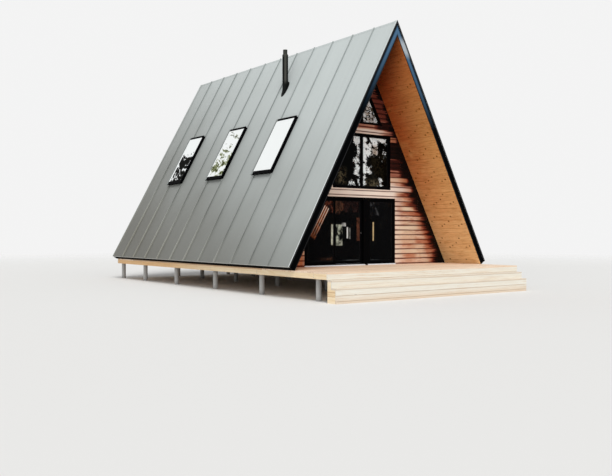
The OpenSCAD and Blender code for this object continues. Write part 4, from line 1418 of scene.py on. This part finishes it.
# Ribs along the door sill's two halves
sill = {"ribs": 3, "pitch": 0.012, "half": 0.002, "inFromNose": 0.016, "top": 0.030, "halves": (0.09, 0.21),
        "section": [(0.0, 0.0003), (0.0, 0.002), (0.0008, 0.003)]}


def laySillRibs():
    low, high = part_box("door_sill")
    work = bmesh.new()
    top = deckTop + sill["top"]
    for x0, x1 in ((low.x + 0.01, sill["halves"][0]), (sill["halves"][1], high.x - 0.01)):
        for i in range(sill["ribs"]):
            y = low.y + sill["inFromNose"] + i * sill["pitch"]
            joinRings(work, ringsAlong(rectangle(x0, x1, y - sill["half"], y + sill["half"]), sill["section"],
                                       lambda u, v, out: (u, v, top + out)))
    finishPiece("sill_ribs", work, finishes["bare_aluminium"])


laySillRibs()

# Angle brackets that hold the cross beams on the piers, on both sides of each beam
bracket = {"width": 0.044, "leg": 0.075, "foot": 0.026, "thickness": 0.003, "fillet": 0.002, "room": 0.0003,
           "fromBeam": 0.0383, "rows": [-3.55, -1.135, 1.135, 3.55], "bolts": [0.028, 0.056]}


def setBrackets():
    work = bmesh.new()
    bolts = []
    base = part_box("piers")[1].z + bracket["room"]
    t, fillet, foot, leg = (bracket[key] for key in ("thickness", "fillet", "foot", "leg"))
    half = bracket["width"] / 2
    outline = [(0.0, 0.0), (foot, 0.0), (foot, t), (t + fillet, t), (t, t + fillet), (t, leg), (0.0, leg)]
    for y in frameScrews["beams"]:
        for x in bracket["rows"]:
            for facing in (-1, 1):
                face = y + facing * bracket["fromBeam"]
                joinRings(work, [[(x + dx, face + facing * u, base + v) for u, v in outline]
                                 for dx in (-half, half)])
                bolts += [(Vector((x, face + facing * t, base + dz)), Vector((0, facing, 0)))
                          for dz in bracket["bolts"]]
    finishPiece("pier_brackets", work, finishes["zinc_steel"])
    fasten("bracket_bolts", bolts, frameScrews["size"])


setBrackets()

# Clamps round the stove pipe: a band's section by its steps outwards and upwards, then the two lugs and
# their bolt, each with its way across, half width, foot, top and reach
clamp = {
    "band": [(0.0004, 0.0), (0.003, 0.002), (0.003, 0.020), (0.0004, 0.022)], "sides": 48,
    "lugs": [(-0.008, 0.0012, 0.001, 0.021, 0.016), (0.008, 0.0012, 0.001, 0.021, 0.016),
             (0.0, 0.014, 0.008, 0.014, 0.012)],
}


def bandPipe():
    work = bmesh.new()
    back = pipe["y"] + pipe["radius"]
    for z in pipe["clamps"]:
        rings = []
        for k in range(clamp["sides"]):
            angle = 2 * math.pi * k / clamp["sides"]
            rings.append([(pipe["x"] + (pipe["radius"] + out) * math.cos(angle),
                           pipe["y"] + (pipe["radius"] + out) * math.sin(angle), z + up)
                          for out, up in clamp["band"]])
        joinRings(work, rings, endless=True)
        for dx, half, low, high, reach in clamp["lugs"]:
            x = pipe["x"] + dx
            outline = rectangle(x - half, x + half, back + 0.001, back + reach)
            joinRings(work, [[(u, v, z + up) for u, v in outline] for up in (low, high)])
    finishPiece("pipe_clamps", work, finishes["pipe_metal"])


bandPipe()
print("hardware set")


# Stage: a pale floor that runs out into the backdrop, soft lamps and the photo's own camera
studio = {
    "backdrop": 0.90,
    "ambient": 0.50,
    "floor": (0.78, 0.77, 0.75),
    "floorSize": 60.0,
    "floorFade": (16.0, 48.0),    # where the floor starts to clear, and where it ends
    "key": {"cameFrom": (-0.25, -0.50, 0.83), "width": 30.0, "power": 2.0},
    "fill": {"cameFrom": (-0.877, -0.464, 0.124), "width": 50.0, "power": 0.7},
}
photoCamera = {
    "place": (-15.2445, -21.1679, 1.7362),
    "turn": (90.0 - 0.324, -0.0153, -36.554),    # degrees
    "focalPixels": 746.32,
    "photoWidth": 612,
}


def makeWorld():
    world = bpy.data.worlds.new("studio")
    world.use_nodes = True
    scene.world = world
    b = Bench(world.node_tree)
    b.tree.nodes.clear()
    seen = b.add("ShaderNodeLightPath", {}, {}, "Is Camera Ray")
    direct = seen.most(seen.other("Is Glossy Ray")).most(seen.other("Is Transmission Ray"))
    soft = b.add("ShaderNodeBackground", {}, {"Color": (0.96, 0.98, 1.0, 1.0), "Strength": studio["ambient"]})
    plain = b.add("ShaderNodeBackground", {}, {"Color": (1.0, 1.0, 1.0, 1.0), "Strength": studio["backdrop"]})
    both = b.add("ShaderNodeMixShader", {}, {0: direct, 1: soft, 2: plain})
    b.add("ShaderNodeOutputWorld", {}, {"Surface": both})


def makeFloor():
    size = studio["floorSize"]
    mesh = meshFrom("floor", [(x, y, 0) for x, y in rectangle(-size, size, -size, size)], [(0, 1, 2, 3)])
    floor = objectOf("floor", mesh)
    f = Finish("floor_paint")
    far = ((f.x * f.x + f.y * f.y) ** 0.5).rise(*studio["floorFade"])
    paint = f.add("ShaderNodeBsdfDiffuse", {}, {"Color": (*studio["floor"], 1.0)})
    clear = f.add("ShaderNodeBsdfTransparent", {}, {})
    f.end(f.add("ShaderNodeMixShader", {}, {0: far, 1: paint, 2: clear}))
    mesh.materials.append(f.material)


def makeLamp(name):
    look = studio[name]
    data = bpy.data.lights.new(name, "SUN")
    data.angle = math.radians(look["width"])
    data.energy = look["power"]
    lamp = objectOf(name, data)
    lamp.location = Vector(look["cameFrom"]) * 20.0
    lamp.rotation_euler = (-Vector(look["cameFrom"])).to_track_quat("-Z", "Y").to_euler()


def makeCamera():
    data = bpy.data.cameras.new("camera")
    data.sensor_width = 36.0
    data.lens = photoCamera["focalPixels"] / photoCamera["photoWidth"] * data.sensor_width
    data.clip_end = 300.0
    camera = objectOf("camera", data)
    camera.location = photoCamera["place"]
    camera.rotation_euler = [math.radians(angle) for angle in photoCamera["turn"]]
    scene.camera = camera


makeWorld()
makeFloor()
makeLamp("key")
makeLamp("fill")
makeCamera()
scene.view_settings.view_transform = "Standard"
print("stage set")
